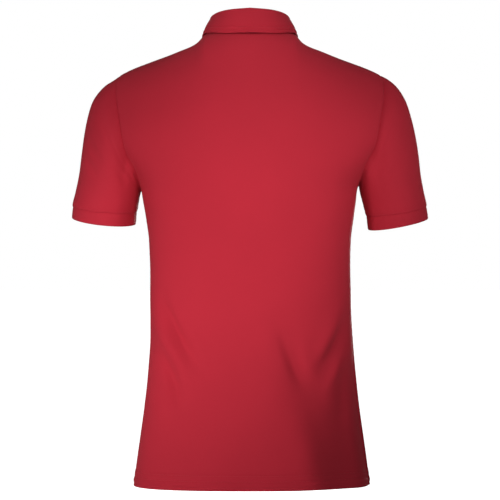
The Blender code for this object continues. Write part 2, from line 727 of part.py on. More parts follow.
def clear_scene():
    for item in list(bpy.data.objects):
        bpy.data.objects.remove(item)
    for name in ("polo_shirt", "cutters"):
        bpy.context.scene.collection.children.link(bpy.data.collections.new(name))


def main():
    clear_scene()
    panels = {face: panel_grid(face) for face in ("back", "front")}
    sleeves = {side: sleeve_grid(panels, side, SLEEVE_STATIONS) for side in SIDE}
    cuffs = {side: sleeve_grid(panels, side, CUFF_STATIONS) for side in SIDE}
    sheets = {
        "back": (panels["back"], False, 1.0),
        "front": (panels["front"], False, -1.0),
        "sleeve_left": (sleeves["left"], True, -1.0),
        "sleeve_right": (sleeves["right"], True, 1.0),
        "cuff_left": (cuffs["left"], True, -1.0),
        "cuff_right": (cuffs["right"], True, 1.0),
    }
    normals = shared_normals(sheets)
    pique = material("pique_knit", RED, 0.85)
    rib = material("flat_knit", RED, 0.80)
    plastic = material("dyed_button", BUTTON_RED, 0.35)

    walls = {face: panels[face] - CLOTH * normals[face] for face in panels}
    for face, grid in panels.items():
        make_panel(face, grid, normals[face]).data.materials.append(pique)
    for side in SIDE:
        sleeve = make_sleeve(side, sleeves[side], normals[f"sleeve_{side}"])
        sleeve.data.materials.append(pique)
        cuff = make_cuff(side, cuffs[side], normals[f"cuff_{side}"])
        cuff.data.materials.append(rib)
    make_collar(panels, walls).data.materials.append(rib)
    foot = placket_foot()
    over = make_placket("placket_over", LAY_GAP, foot - 1)
    under = make_placket("placket_under", -2 * CLOTH - 1.5 * LAY_GAP, foot)
    for band in (over, under):
        band.data.materials.append(pique)
    for k in range(3):
        button = make_button(f"button_{k + 1}", BUTTON_DROP + k * BUTTON_PITCH)
        button.data.materials.append(plastic)


main()
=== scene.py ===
"""The look of a short-sleeved polo shirt, filled out as if it were worn, with nobody in it.

+Z is up, the front of the shirt faces -Y and the wearer's left is +X, all in metres. The
cloth is one smooth form, worked out from tables of sizes. Each piece that a maker would cut
is a fine grid of points on that form, with a second grid behind it for the wall's inner face.
"""

import math
from collections import namedtuple
from functools import lru_cache

import bmesh
import bpy
import numpy as np
from bpy.props import FloatProperty, FloatVectorProperty, PointerProperty
from bpy.types import Operator, Panel, PropertyGroup
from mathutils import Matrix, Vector
from mathutils.kdtree import KDTree


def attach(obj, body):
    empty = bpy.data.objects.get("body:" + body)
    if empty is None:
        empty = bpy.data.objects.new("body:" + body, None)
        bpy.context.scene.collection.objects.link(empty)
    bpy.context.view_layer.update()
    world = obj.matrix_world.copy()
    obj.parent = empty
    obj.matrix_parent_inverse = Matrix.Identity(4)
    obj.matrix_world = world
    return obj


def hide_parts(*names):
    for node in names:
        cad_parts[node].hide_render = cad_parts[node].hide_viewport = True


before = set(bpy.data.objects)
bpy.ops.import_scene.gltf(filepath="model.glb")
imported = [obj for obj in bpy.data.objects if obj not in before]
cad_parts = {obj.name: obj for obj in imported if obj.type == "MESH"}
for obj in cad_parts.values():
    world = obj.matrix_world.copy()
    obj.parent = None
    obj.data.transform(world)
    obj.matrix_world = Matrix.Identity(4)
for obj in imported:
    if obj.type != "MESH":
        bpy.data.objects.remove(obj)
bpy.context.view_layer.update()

bl_info = {
    "name": "Polo shirt",
    "version": (1, 0, 0),
    "blender": (4, 5, 0),
    "location": "View3D > Sidebar > Polo shirt",
    "description": "Makes a short-sleeved polo shirt, filled out as if it were worn",
    "category": "Add Mesh",
}


def table(columns, *rows):
    """Rows of values whose columns have names."""
    Row = namedtuple("Row", columns)
    return [Row(*row) for row in rows]


# --- The cut and the form, in metres ---

CLOTH = 0.0015  # wall of the body and sleeve cloth
RIB = 0.0020  # wall of the flat-knit collar and cuffs
SEAM_GAP = 0.0001  # between two pieces at a seam
LAY_GAP = 0.0004  # between a piece and what lies on it

ARM_LEVEL = -0.238  # above this level the body rounds in towards the shoulders
SHOULDER_X = 0.208  # outer end of the shoulder seam
NECK_X = 0.071  # neck end of the shoulder seam
NECK_Z = {"back": 0.012, "front": -0.072}  # neck seam at the centre

PLACKET_HALF = 0.0165
PLACKET_BOX = 0.016  # height of the stitched box at its foot
SLIT_HALF = 0.0125  # half of the width cut out of the front under the placket
BUTTON_RADIUS = 0.0055
BUTTON_THICK = 0.0026
BUTTON_DROP = 0.015  # from the neck seam to the first button
BUTTON_PITCH = 0.054
BUTTON_HOLE_RADIUS = 0.0009
BUTTON_HOLE_OUT = 0.0016  # from the button's centre to a hole's centre
BUTTON_FLOOR = 0.66  # height of the button's hollow, as a share of its thickness

COLLAR_FOLD_RADIUS = 0.0040
COLLAR_END_X = 0.0010  # the collar's two ends stop this far from the centre front
NECK_GAP = 0.0003  # from the body's neck edge up to the lower edge of the collar
FALL_BULGE = 0.0015  # how far the fall is rounded out between its fold and its edge

CROSSING_Z = {"back": -0.050, "front": -0.118}  # centre of the row from the shoulder point
ROW_LIFT = 2.0  # exponent of a row's rise towards its ends
NECK_LIFT = 3.2  # the same at the neck, where it shapes the neckline
ARM_SPREAD = 1.5  # over 1, the armhole's points are closer towards its two ends
SHOULDER_SPREAD = 1.35  # over 1, the shoulder seam's points are closer towards the neck

BODY = table(
    "z half_width back front centre",
    (-0.711, 0.1888, 0.1180, 0.1180, -0.0032),
    (-0.672, 0.1840, 0.1165, 0.1165, -0.0032),
    (-0.640, 0.1796, 0.1140, 0.1155, -0.0032),
    (-0.576, 0.1708, 0.1050, 0.1130, -0.0032),
    (-0.512, 0.1644, 0.0950, 0.1110, -0.0030),
    (-0.464, 0.1612, 0.0900, 0.1100, -0.0026),
    (-0.416, 0.1600, 0.0885, 0.1100, -0.0016),
    (-0.368, 0.1600, 0.0920, 0.1115, -0.0005),
    (-0.320, 0.1614, 0.0990, 0.1150, 0.0000),
    (-0.288, 0.1656, 0.1045, 0.1185, 0.0002),
    (-0.256, 0.1704, 0.1090, 0.1210, 0.0008),
    (-0.240, 0.1726, 0.1105, 0.1220, 0.0012),
    (-0.220, 0.1815, 0.1120, 0.1230, 0.0010),
    (-0.200, 0.1975, 0.1130, 0.1230, 0.0006),
    (-0.180, 0.2130, 0.1135, 0.1230, 0.0003),
    (-0.155, 0.2270, 0.1140, 0.1225, 0.0000),
    (-0.125, 0.2335, 0.1140, 0.1215, 0.0000),
    (-0.090, 0.2340, 0.1125, 0.1200, 0.0000),
    (-0.040, 0.2340, 0.1090, 0.1180, 0.0000),
    (0.030, 0.2340, 0.1050, 0.1170, 0.0000),
)
HEM_Z = BODY[0].z
ROUNDNESS = 2.6  # exponent of the body's sections: 2 is an ellipse, more is squarer

# The top of the form over each distance from the centre. The shoulder seam lies on it.
RIDGE = table(
    "x back front",
    (0.000, 0.0204, -0.0430),
    (0.030, 0.0187, -0.0420),
    (0.040, 0.0166, -0.0385),
    (0.050, 0.0140, -0.0300),
    (0.060, 0.0114, -0.0152),
    (0.066, 0.0094, -0.0030),
    (0.071, 0.0080, 0.0080),
    (0.078, 0.0012, 0.0012),
    (0.084, -0.0050, -0.0050),
    (0.096, -0.0120, -0.0120),
    (0.112, -0.0184, -0.0184),
    (0.135, -0.0274, -0.0274),
    (0.160, -0.0366, -0.0366),
    (0.190, -0.0480, -0.0480),
    (0.208, -0.0565, -0.0565),
    (0.240, -0.0720, -0.0720),
)
# The same well below the neck, where the cloth no longer follows the neck's corners.
SMOOTH_RIDGE = table(
    "x back front",
    (0.000, 0.0120, -0.0400),
    (0.030, 0.0098, -0.0370),
    (0.060, 0.0030, -0.0275),
    (0.080, -0.0050, -0.0210),
    (0.096, -0.0115, -0.0198),
    (0.112, -0.0184, -0.0212),
    (0.135, -0.0274, -0.0276),
    (0.160, -0.0366, -0.0366),
    (0.190, -0.0480, -0.0480),
    (0.208, -0.0565, -0.0565),
    (0.240, -0.0720, -0.0720),
)
RIDGE_DROP = 0.090  # how far below the ridge its corners have faded out
# Exponent of the rounding towards the ridge, at the centre and at the shoulder point.
CREST_CENTRE = {"back": 3.2, "front": 2.6}
CREST_SHOULDER = {"back": 2.0, "front": 2.1}

ARMPIT_Z = {"left": -0.2430, "right": -0.2345}
# How far the armhole lies out from the armpit, by how far up it one is.
ARMHOLE = table(
    "rise back front",
    (0.00, 0.0000, 0.0000),
    (0.05, 0.0016, 0.0010),
    (0.14, 0.0064, 0.0034),
    (0.21, 0.0125, 0.0072),
    (0.28, 0.0205, 0.0122),
    (0.39, 0.0264, 0.0172),
    (0.48, 0.0295, 0.0202),
    (0.59, 0.0327, 0.0237),
    (0.70, 0.0365, 0.0277),
    (0.82, 0.0395, 0.0317),
    (0.91, 0.0397, 0.0340),
    (1.00, 0.0352, 0.0352),
)

# The sleeve's upper and lower edges as seen from behind, its half depth from front to
# back, how far it swings forward and how much lower its back is than its front.
RING = "station out_x out_z in_x in_z depth forward drop"
SLEEVE = {
    "left": table(
        RING,
        (0.00, 0.2080, -0.0565, 0.1728, -0.2430, 0.0670, 0.006, 0.000),
        (0.05, 0.2184, -0.0640, 0.1742, -0.2434, 0.0670, 0.006, 0.000),
        (0.11, 0.2312, -0.0722, 0.1752, -0.2460, 0.0668, 0.006, 0.000),
        (0.18, 0.2428, -0.0840, 0.1758, -0.2484, 0.0662, 0.007, 0.001),
        (0.26, 0.2524, -0.0990, 0.1764, -0.2508, 0.0655, 0.007, 0.001),
        (0.36, 0.2600, -0.1230, 0.1770, -0.2540, 0.0642, 0.008, 0.002),
        (0.48, 0.2656, -0.1510, 0.1777, -0.2575, 0.0625, 0.009, 0.003),
        (0.61, 0.2700, -0.1830, 0.1784, -0.2615, 0.0600, 0.010, 0.004),
        (0.74, 0.2738, -0.2130, 0.1791, -0.2658, 0.0577, 0.011, 0.005),
        (0.87, 0.2798, -0.2420, 0.1797, -0.2700, 0.0557, 0.012, 0.006),
        (1.00, 0.2852, -0.2655, 0.1803, -0.2745, 0.0545, 0.013, 0.007),
        (1.10, 0.2860, -0.2838, 0.1830, -0.2946, 0.0540, 0.014, 0.008),
    ),
    "right": table(
        RING,
        (0.00, 0.2080, -0.0560, 0.1720, -0.2345, 0.0670, 0.006, 0.000),
        (0.05, 0.2184, -0.0612, 0.1736, -0.2350, 0.0670, 0.006, 0.000),
        (0.11, 0.2312, -0.0710, 0.1745, -0.2385, 0.0668, 0.006, 0.000),
        (0.18, 0.2410, -0.0826, 0.1752, -0.2420, 0.0662, 0.007, 0.001),
        (0.26, 0.2496, -0.0980, 0.1760, -0.2455, 0.0655, 0.007, 0.001),
        (0.36, 0.2580, -0.1230, 0.1773, -0.2505, 0.0642, 0.008, 0.002),
        (0.48, 0.2648, -0.1510, 0.1789, -0.2560, 0.0625, 0.009, 0.003),
        (0.61, 0.2702, -0.1830, 0.1806, -0.2622, 0.0600, 0.010, 0.004),
        (0.74, 0.2736, -0.2130, 0.1822, -0.2684, 0.0577, 0.011, 0.005),
        (0.87, 0.2788, -0.2420, 0.1838, -0.2746, 0.0557, 0.012, 0.006),
        (1.00, 0.2840, -0.2650, 0.1853, -0.2808, 0.0545, 0.013, 0.006),
        (1.10, 0.2862, -0.2848, 0.1890, -0.3032, 0.0540, 0.014, 0.006),
    ),
}
CUFF_END = 1.10  # the station of the cuff's free edge
SLEEVE_LENGTH = 0.205  # of cloth, from station 0 to station 1
CUFF_PINCH = 0.0012  # how far the cuff's seam is drawn in
ARMHOLE_FADE = 2.5  # exponent of the armhole's fading out down the sleeve

# The collar, by the angle round the neck from the centre back. The fold columns place the
# centre of the fold's round, and the edge columns the fall's free edge.
COLLAR = table(
    "angle fold_x fold_y fold_z edge_x edge_y edge_z",
    (0, 0.0000, 0.0488, 0.0422, 0.0000, 0.0660, 0.0068),
    (30, 0.0311, 0.0399, 0.0404, 0.0398, 0.0547, 0.0064),
    (60, 0.0529, 0.0166, 0.0366, 0.0686, 0.0258, 0.0060),
    (79, 0.0596, -0.0025, 0.0315, 0.0760, 0.0008, 0.0056),
    (100, 0.0590, -0.0244, 0.0200, 0.0770, -0.0290, 0.0030),
    (120, 0.0522, -0.0438, -0.0010, 0.0760, -0.0515, -0.0068),
    (131, 0.0460, -0.0530, -0.0140, 0.0740, -0.0635, -0.0198),
    (142, 0.0370, -0.0610, -0.0265, 0.0692, -0.0748, -0.0380),
    (153, 0.0270, -0.0668, -0.0380, 0.0605, -0.0850, -0.0590),
    (180, 0.0000, -0.0722, -0.0500, 0.0365, -0.0985, -0.0970),
)
NECK_CENTRE_Y = -0.014
FALL_CLEARANCE = 0.0025  # from the body's surface to the middle of the fall

# The broadest hollows of the body, along a line.
FOLD_FADE = 6.0  # exponent of the folds' fading out at the side seams
FOLD = "x0 z0 x1 z1 width height"
FOLDS = {
    "back": table(FOLD, (-0.116, -0.560, -0.150, -0.711, 0.054, -0.0170)),
    "front": table(
        FOLD,
        (0.100, -0.560, 0.128, -0.711, 0.045, -0.0080),
        (-0.070, -0.600, -0.085, -0.711, 0.040, -0.0060),
    ),
}

# Soft creases, each along a bow through three places. A crease is as wide as given on its
# left side, going along it, and has the share `other` of that width on its other side. It is
# strongest at the share `peak` of its length.
CREASE = "x0 z0 x1 z1 x2 z2 width other peak height"
CREASES = {
    "back": table(
        CREASE,
        (0.156, -0.380, 0.130, -0.480, 0.086, -0.580, 0.0150, 1.2, 0.46, 0.0090),
        (0.142, -0.400, 0.110, -0.474, 0.066, -0.540, 0.0110, 0.7, 0.38, -0.0092),
        (0.142, -0.470, 0.123, -0.536, 0.104, -0.606, 0.0085, 1.5, 0.50, -0.0076),
        (0.118, -0.405, 0.082, -0.452, 0.040, -0.488, 0.0150, 1.0, 0.50, -0.0012),
        (0.154, -0.560, 0.140, -0.610, 0.132, -0.668, 0.0120, 1.2, 0.40, 0.0016),
        (-0.038, -0.424, -0.062, -0.500, -0.094, -0.566, 0.0105, 2.3, 0.60, -0.0066),
        (-0.078, -0.462, -0.090, -0.510, -0.106, -0.548, 0.0100, 1.2, 0.50, 0.0026),
        (-0.154, -0.400, -0.128, -0.474, -0.078, -0.540, 0.0120, 0.8, 0.50, 0.0044),
        (-0.164, -0.400, -0.137, -0.482, -0.103, -0.536, 0.0130, 1.6, 0.50, -0.0076),
        (-0.154, -0.490, -0.136, -0.532, -0.110, -0.572, 0.0095, 1.1, 0.50, 0.0034),
        (-0.166, -0.450, -0.160, -0.550, -0.144, -0.630, 0.0220, 1.0, 0.50, -0.0092),
        (-0.062, -0.540, -0.090, -0.660, -0.118, -0.780, 0.0240, 1.0, 0.50, 0.0046),
        (-0.150, -0.480, -0.168, -0.640, -0.188, -0.800, 0.0400, 1.0, 0.50, -0.0142),
        (-0.201, -0.172, -0.193, -0.194, -0.179, -0.222, 0.0060, 1.4, 0.45, -0.0034),
        (-0.216, -0.180, -0.205, -0.205, -0.188, -0.234, 0.0060, 1.3, 0.45, -0.0030),
        (-0.236, -0.190, -0.219, -0.214, -0.197, -0.246, 0.0070, 1.2, 0.50, -0.0026),
        (0.202, -0.182, 0.193, -0.202, 0.181, -0.230, 0.0060, 1.3, 0.45, -0.0022),
        (0.222, -0.190, 0.207, -0.214, 0.189, -0.246, 0.0070, 1.2, 0.50, -0.0020),
        (0.262, -0.150, 0.247, -0.182, 0.229, -0.208, 0.0070, 1.2, 0.50, -0.0030),
        (0.266, -0.178, 0.252, -0.204, 0.236, -0.230, 0.0060, 1.3, 0.50, -0.0026),
        (0.164, -0.262, 0.146, -0.300, 0.118, -0.330, 0.0130, 0.8, 0.35, -0.0010),
        (-0.164, -0.258, -0.144, -0.296, -0.112, -0.322, 0.0130, 0.8, 0.35, -0.0012),
    ),
    "front": table(
        CREASE,
        (0.150, -0.372, 0.112, -0.430, 0.056, -0.482, 0.0160, 0.8, 0.40, -0.0038),
        (0.152, -0.420, 0.128, -0.470, 0.090, -0.512, 0.0120, 1.1, 0.45, 0.0028),
        (0.148, -0.470, 0.130, -0.514, 0.104, -0.548, 0.0100, 0.8, 0.50, -0.0022),
        (-0.152, -0.384, -0.106, -0.452, -0.050, -0.508, 0.0160, 0.8, 0.45, -0.0040),
        (-0.153, -0.440, -0.126, -0.492, -0.084, -0.540, 0.0120, 1.1, 0.45, 0.0030),
        (-0.148, -0.500, -0.128, -0.538, -0.106, -0.568, 0.0095, 0.8, 0.50, -0.0022),
        (0.200, -0.168, 0.184, -0.196, 0.152, -0.226, 0.0090, 1.2, 0.35, -0.0026),
        (0.186, -0.206, 0.166, -0.226, 0.136, -0.246, 0.0080, 1.2, 0.35, -0.0020),
        (-0.198, -0.160, -0.180, -0.190, -0.146, -0.220, 0.0090, 1.2, 0.35, -0.0026),
        (-0.184, -0.200, -0.162, -0.221, -0.132, -0.240, 0.0080, 1.2, 0.35, -0.0020),
        (0.226, -0.178, 0.208, -0.206, 0.188, -0.240, 0.0070, 1.2, 0.50, -0.0016),
        (-0.228, -0.186, -0.212, -0.210, -0.190, -0.242, 0.0070, 1.2, 0.50, -0.0016),
        (0.064, -0.262, 0.040, -0.300, 0.010, -0.326, 0.0160, 0.9, 0.40, -0.0012),
        (-0.060, -0.256, -0.042, -0.296, -0.014, -0.330, 0.0160, 0.9, 0.40, -0.0014),
    ),
}
CREASE_STEPS = 16
CREASE_FADE = 0.03  # how far below the neck and shoulder seams the creases fade out
# A faint unevenness of the whole cloth: waves along a direction.
WAVES = table(
    "length turn phase height",
    (0.118, 0.35, 0.4, 0.00030),
    (0.083, 1.25, 2.1, 0.00022),
    (0.061, 2.30, 4.4, 0.00016),
    (0.044, 0.90, 1.3, 0.00010),
)

# How many steps each stretch is cut into, and the places kept close beside a seam or hem.
SIDE_COLUMNS = 74
CENTRE_COLUMNS = 6
BESIDE_SEAM = np.array([0.0, 0.0004, 0.0010, 0.0019, 0.0032, 0.0050])
HEM_UPS = np.concatenate(
    [
        [0.0, 0.0004, 0.0010, 0.0019, 0.0031, 0.0045, 0.0060, 0.0075, 0.0090, 0.0105, 0.0120],
        np.arange(0.0130, 0.0172, 0.0007),
        np.arange(0.0180, 0.0215, 0.0010),
        np.arange(0.0220, 0.0262, 0.0007),
        [0.0268, 0.0280, 0.0295, 0.0315, 0.0340],
    ]
)
BODY_STEP = 0.0040
ARM_ROWS = 56
SHOULDER_ROWS = 38
SLEEVE_RINGS = 84
CUFF_RINGS = 18
FOLD_STEPS = 14
STAND_STEPS = 10
FALL_STEPS = 34
OVER_ROW = 0  # arm rows at which the placket's two bands start
UNDER_ROW = 6
THREAD_SIDES = 6
BUTTON_STEPS = 48
HOLE_STEPS = 16

# --- Sewing ---

SEAM_DEPTH = 0.00085  # how deep a seam draws the cloth in
SEAM_REACH = 0.0013  # how fast that fades out beside the seam
SEAM_FELT = 0.020  # how far from a seam its puckers are looked for
PUCKER_HEIGHT = 0.00016
PUCKER_LENGTH = 0.0105
PUCKER_OUT = 0.004  # how far from the seam the puckers are highest
TURNED_IN = table("more width fade", (0.0007, 0.006, 0.002))[0]  # a seam's allowance
THINNEST = 0.0008  # the least wall where a seam is drawn in
EDGE_ROUND = 0.00035
EDGE_WIDTH = 0.0006
RIB_EDGE_WIDTH = 0.0008
HEM_LINES = (0.0150, 0.0240)  # stitch rows, up from the hem
# The turned hem's roll and tuck, up from its edge.
HEM_ROLL = table("height up width", (0.00100, 0.0092, 0.0032), (-0.00050, 0.0038, 0.0018))
HEM_SWELL = 0.00020  # between the two stitch rows
HEM_STEP = table("height up fade", (0.00042, 0.0250, 0.0022))[0]  # outside, where it ends
HEM_TURN = table("more up fade", (0.0010, 0.0255, 0.0012))[0]  # the turned layer inside
HEM_RIPPLE = table("height length", (0.00013, 0.0098))[0]
CUFF_LINE = 0.0022  # stitch row, up from the cuff's seam
NECK_LINE = 0.0085  # stitch row, down from the back of the neck seam
PLACKET_LINE = 0.0022  # stitch rows, in from the bands' edges
STITCH_GROOVE = 0.00030
GROOVE_WIDTH = 0.0008
RELIEF_LINES = (0.0044, 0.0104)  # knitted lines of the collar, up from its edge
RELIEF_DEPTH = 0.0011
RELIEF_WIDTH = 0.0009
RELIEF_SWELL = table("height width", (0.00020, 0.0022))[0]  # between the knitted lines
BUTTONHOLE = table("half lip slit pitch", (0.0068, 0.0011, 0.00025, 0.00042))[0]
BAR_THREAD = 0.00024  # radius of a buttonhole's stitches
TIE_THREAD = 0.00026  # radius of a button's threads, which lie that far from the middle

SIDE = {"left": 1.0, "right": -1.0}
FACING = {"back": 1.0, "front": -1.0}

# --- The place that the shirt is shown in ---

CAMERA_AT = (0.0, 4.0, -0.336)
CAMERA_LENS = 180.0
FLOOR_Z = -1.05
FLOOR_RADIUS = 40.0
ROOM_LIGHT = 0.185  # strength of the white room's light on the shirt
# A lamp, the place it is turned to, how wide its light is there, its own size and its power.
# A lamp with no reach is a broad softbox.
LAMPS = table(
    "name at to reach size watts",
    ("back_softbox", (1.0, 2.7, -0.6), (0.0, 0.05, -0.33), None, 0.60, 7.0),
    ("side_softbox", (1.8, 2.0, -0.7), (0.0, 0.05, -0.33), None, 0.60, 17.0),
    ("shoulder_key", (-1.2, 2.4, 0.2), (0.0, 0.07, -0.18), 0.30, 0.25, 98.0),
    ("shoulder_fill", (0.0, 3.0, -0.3), (0.0, 0.07, -0.18), 0.30, 0.25, 81.0),
    ("upper_light", (-0.6, 2.7, 0.6), (0.07, 0.07, -0.42), 0.28, 0.25, 53.0),
    ("waist_key", (1.8, 1.8, -0.4), (0.05, 0.07, -0.56), 0.30, 0.25, 86.0),
    ("waist_side", (2.4, 1.0, -0.4), (0.10, 0.04, -0.46), 0.24, 0.20, 34.0),
    ("waist_fill", (0.0, 2.9, 0.3), (0.07, 0.07, -0.42), 0.28, 0.25, 82.0),
    ("side_light", (-2.2, 1.4, 0.1), (-0.14, 0.04, -0.24), 0.32, 0.25, 79.0),
    ("sleeve_light", (0.6, 2.6, -0.8), (0.235, 0.0, -0.27), 0.13, 0.08, 58.0),
    ("collar_light", (0.0, 1.6, 1.6), (0.0, 0.04, 0.02), 0.14, 0.08, 60.0),
    ("front_softbox", (-0.8, -3.3, 0.0), (0.0, 0.0, -0.33), None, 1.00, 80.0),
)


# --- Colours and sizes that a user would change ---


class PoloColours(PropertyGroup):
    """Colours of the shirt and of the place it is shown in."""

    cloth: FloatVectorProperty(
        name="Cloth", description="Colour of the dyed cotton", subtype="COLOR",
        size=4, min=0.0, max=1.0, default=(0.508, 0.0192, 0.0375, 1.0),
    )
    thread: FloatVectorProperty(
        name="Thread", description="Colour of the sewing thread", subtype="COLOR",
        size=4, min=0.0, max=1.0, default=(0.55, 0.022, 0.038, 1.0),
    )
    button: FloatVectorProperty(
        name="Buttons", description="Colour of the dyed resin buttons", subtype="COLOR",
        size=4, min=0.0, max=1.0, default=(0.40, 0.015, 0.028, 1.0),
    )
    floor: FloatVectorProperty(
        name="Floor", description="Colour of the pale floor", subtype="COLOR",
        size=4, min=0.0, max=1.0, default=(0.90, 0.90, 0.90, 1.0),
    )


class PoloSizes(PropertyGroup):
    """Sizes of the knit and of the sewing."""

    pique_across: FloatProperty(
        name="Pique repeat across", description="Width of two cells of the pique knit",
        unit="LENGTH", min=0.0005, max=0.01, default=0.0024,
    )
    pique_up: FloatProperty(
        name="Pique repeat up", description="Height of two cells of the pique knit",
        unit="LENGTH", min=0.0005, max=0.01, default=0.0020,
    )
    rib_pitch: FloatProperty(
        name="Rib pitch", description="From one rib of the collar and cuffs to the next",
        unit="LENGTH", min=0.0005, max=0.01, default=0.0013,
    )
    stitch_length: FloatProperty(
        name="Stitch length", description="Visible length of a stitch",
        unit="LENGTH", min=0.001, max=0.01, default=0.0026,
    )
    stitch_gap: FloatProperty(
        name="Stitch gap", description="From the end of a stitch to the next",
        unit="LENGTH", min=0.0001, max=0.005, default=0.0006,
    )
    thread_radius: FloatProperty(
        name="Thread radius", description="Half of the sewing thread's thickness",
        unit="LENGTH", min=0.0001, max=0.001, default=0.00022,
    )


# --- Tables and directions ---


def along(rows, column, place):
    """A table's column at a place in its first column, on a smooth curve through the rows."""
    at = np.array([row[0] for row in rows], float)
    value = np.array([getattr(row, column) for row in rows], float)
    secant = np.diff(value) / np.diff(at)
    product = secant[:-1] * secant[1:]
    total = np.where(product > 0.0, secant[:-1] + secant[1:], 1.0)
    between = np.where(product > 0.0, 2.0 * product / total, 0.0)
    slope = np.concatenate([secant[:1], between, secant[-1:]])
    place = np.clip(place, at[0], at[-1])
    k = np.clip(np.searchsorted(at, place, side="right") - 1, 0, len(at) - 2)
    step = at[k + 1] - at[k]
    t = (place - at[k]) / step
    start = (2 * t**3 - 3 * t**2 + 1) * value[k] + (t**3 - 2 * t**2 + t) * step * slope[k]
    end = (3 * t**2 - 2 * t**3) * value[k + 1] + (t**3 - t**2) * step * slope[k + 1]
    return start + end


def unit(vectors):
    length = np.linalg.norm(vectors, axis=-1, keepdims=True)
    return vectors / np.maximum(length, 1e-12)


def smooth(share):
    """From 0 to 1 as share goes from 0 to 1, level at both ends."""
    share = np.clip(share, 0.0, 1.0)
    return share**2 * (3.0 - 2.0 * share)


def bell(distance, width):
    """1 at no distance, fading out softly on both sides."""
    return np.exp(-((distance / width) ** 2))


def lengths(points):
    """The length along a line of points up to each of them."""
    step = np.linalg.norm(np.diff(points, axis=0), axis=-1)
    return np.concatenate([np.zeros((1,) + step.shape[1:]), np.cumsum(step, axis=0)])


def lengths_back(points):
    """The length along a line of points from each of them to its end."""
    return lengths(points[::-1])[::-1]


def close(loop):
    return np.concatenate([loop, loop[:1]])


def facet_normals(grid, closed, turn):
    """The direction out of the cloth at each of a grid's points."""
    if closed:
        wide = np.concatenate([grid[:, -1:], grid, grid[:, :1]], axis=1)
        across = np.gradient(wide, axis=1)[:, 1:-1]
    else:
        across = np.gradient(grid, axis=1)
    return turn * unit(np.cross(across, np.gradient(grid, axis=0)))


def find_tree(points):
    """The points, sorted for finding the nearest ones to a place."""
    tree = KDTree(len(points))
    for k, point in enumerate(points):
        tree.insert(point, k)
    tree.balance()
    return tree


# --- The body's form ---


def round_off(share, exponent):
    """A superellipse: 1 where share is 0, and 0 where it is 1."""
    return np.clip(1.0 - np.clip(share, 0.0, 1.0) ** exponent, 0.0, 1.0) ** (1.0 / exponent)


def crest(x, face):
    """The exponent of the rounding towards the ridge, at a distance from the centre."""
    share = np.clip(np.abs(x) / SHOULDER_X, 0.0, 1.0)
    return CREST_CENTRE[face] + (CREST_SHOULDER[face] - CREST_CENTRE[face]) * share


def ridge_height(x, z, face):
    """The height that the cloth rounds in towards, from a place on it."""
    sharp = along(RIDGE, face, np.abs(x))
    level = along(SMOOTH_RIDGE, face, np.abs(x))
    return sharp + (level - sharp) * smooth((sharp - z) / RIDGE_DROP)


def fold_height(x, z, face):
    """How far the broadest hollows move the cloth outwards."""
    height = np.zeros(np.broadcast(x, z).shape)
    for fold in FOLDS[face]:
        run_x, run_z = fold.x1 - fold.x0, fold.z1 - fold.z0
        share = ((x - fold.x0) * run_x + (z - fold.z0) * run_z) / (run_x**2 + run_z**2)
        share = np.clip(share, 0.0, 1.0)
        off = np.hypot(x - fold.x0 - share * run_x, z - fold.z0 - share * run_z)
        height = height + fold.height * bell(off, fold.width)
    return height


def across_share(x, z):
    """How far out towards the side seam a place is."""
    return np.abs(x - along(BODY, "centre", z)) / along(BODY, "half_width", z)


def body_depth(x, z, face):
    """How far the body's surface stands out from the plane of the side seams."""
    across = across_share(x, z)
    up = (z - ARM_LEVEL) / (ridge_height(x, z, face) - ARM_LEVEL)
    flat = round_off(across, ROUNDNESS) * round_off(up, crest(x, face))
    fade = round_off(across, FOLD_FADE)
    return along(BODY, face, z) * flat + fade * fold_height(x, z, face)


def body_top(x, y, face):
    """The height of the body's surface near the neck, over places in plan."""
    rounding = round_off(np.abs(y) / along(BODY, face, NECK_Z["back"]), crest(x, face))
    top = np.full(np.shape(x), NECK_Z["back"])
    for _ in range(4):  # the ridge depends a little on the height
        top = ARM_LEVEL + (ridge_height(x, top, face) - ARM_LEVEL) * rounding
    return top


def bow(crease):
    """A crease's line: points on a bow through its three places."""
    start = np.array([crease.x0, crease.z0])
    middle = np.array([crease.x1, crease.z1])
    end = np.array([crease.x2, crease.z2])
    handle = 2.0 * middle - (start + end) / 2.0
    t = np.linspace(0.0, 1.0, CREASE_STEPS + 1)[:, None]
    return (1 - t) ** 2 * start + 2 * t * (1 - t) * handle + t**2 * end


def crease_height(x, z, face):
    """How far the soft creases move the cloth outwards."""
    place = np.stack([x.ravel(), z.ravel()], axis=-1)
    height = np.zeros(len(place))
    for crease in CREASES[face]:
        line = bow(crease)
        run = np.diff(line, axis=0)
        reach = 3.0 * crease.width * max(1.0, crease.other)
        low, high = line.min(axis=0) - reach, line.max(axis=0) + reach
        near = np.flatnonzero(np.all((place > low) & (place < high), axis=1))
        away = place[near, None, :] - line[None, :-1, :]
        share = np.clip(np.sum(away * run, axis=2) / np.sum(run * run, axis=1), 0.0, 1.0)
        off = away - share[..., None] * run
        gap = np.linalg.norm(off, axis=2)
        pick = np.argmin(gap, axis=1)
        each = np.arange(len(near))
        side = run[pick, 0] * off[each, pick, 1] - run[pick, 1] * off[each, pick, 0]
        wide = crease.width * np.where(side > 0.0, 1.0, crease.other)
        run_share = (pick + share[each, pick]) / CREASE_STEPS
        lean = math.log(0.5) / math.log(crease.peak)
        taper = np.sin(math.pi * run_share**lean) ** 2
        height[near] += crease.height * taper * bell(gap[each, pick], wide)
    return height.reshape(x.shape)


def unevenness(x, z):
    """A faint waviness, as knit cloth is never quite smooth."""
    height = np.zeros(x.shape)
    for wave in WAVES:
        along_it = x * math.cos(wave.turn) + z * math.sin(wave.turn)
        bend = 0.9 * np.sin(2.0 * math.pi * (z - x) / (2.7 * wave.length) + wave.phase)
        turn = 2.0 * math.pi * along_it / wave.length + wave.phase + bend
        height = height + wave.height * np.sin(turn)
    return height


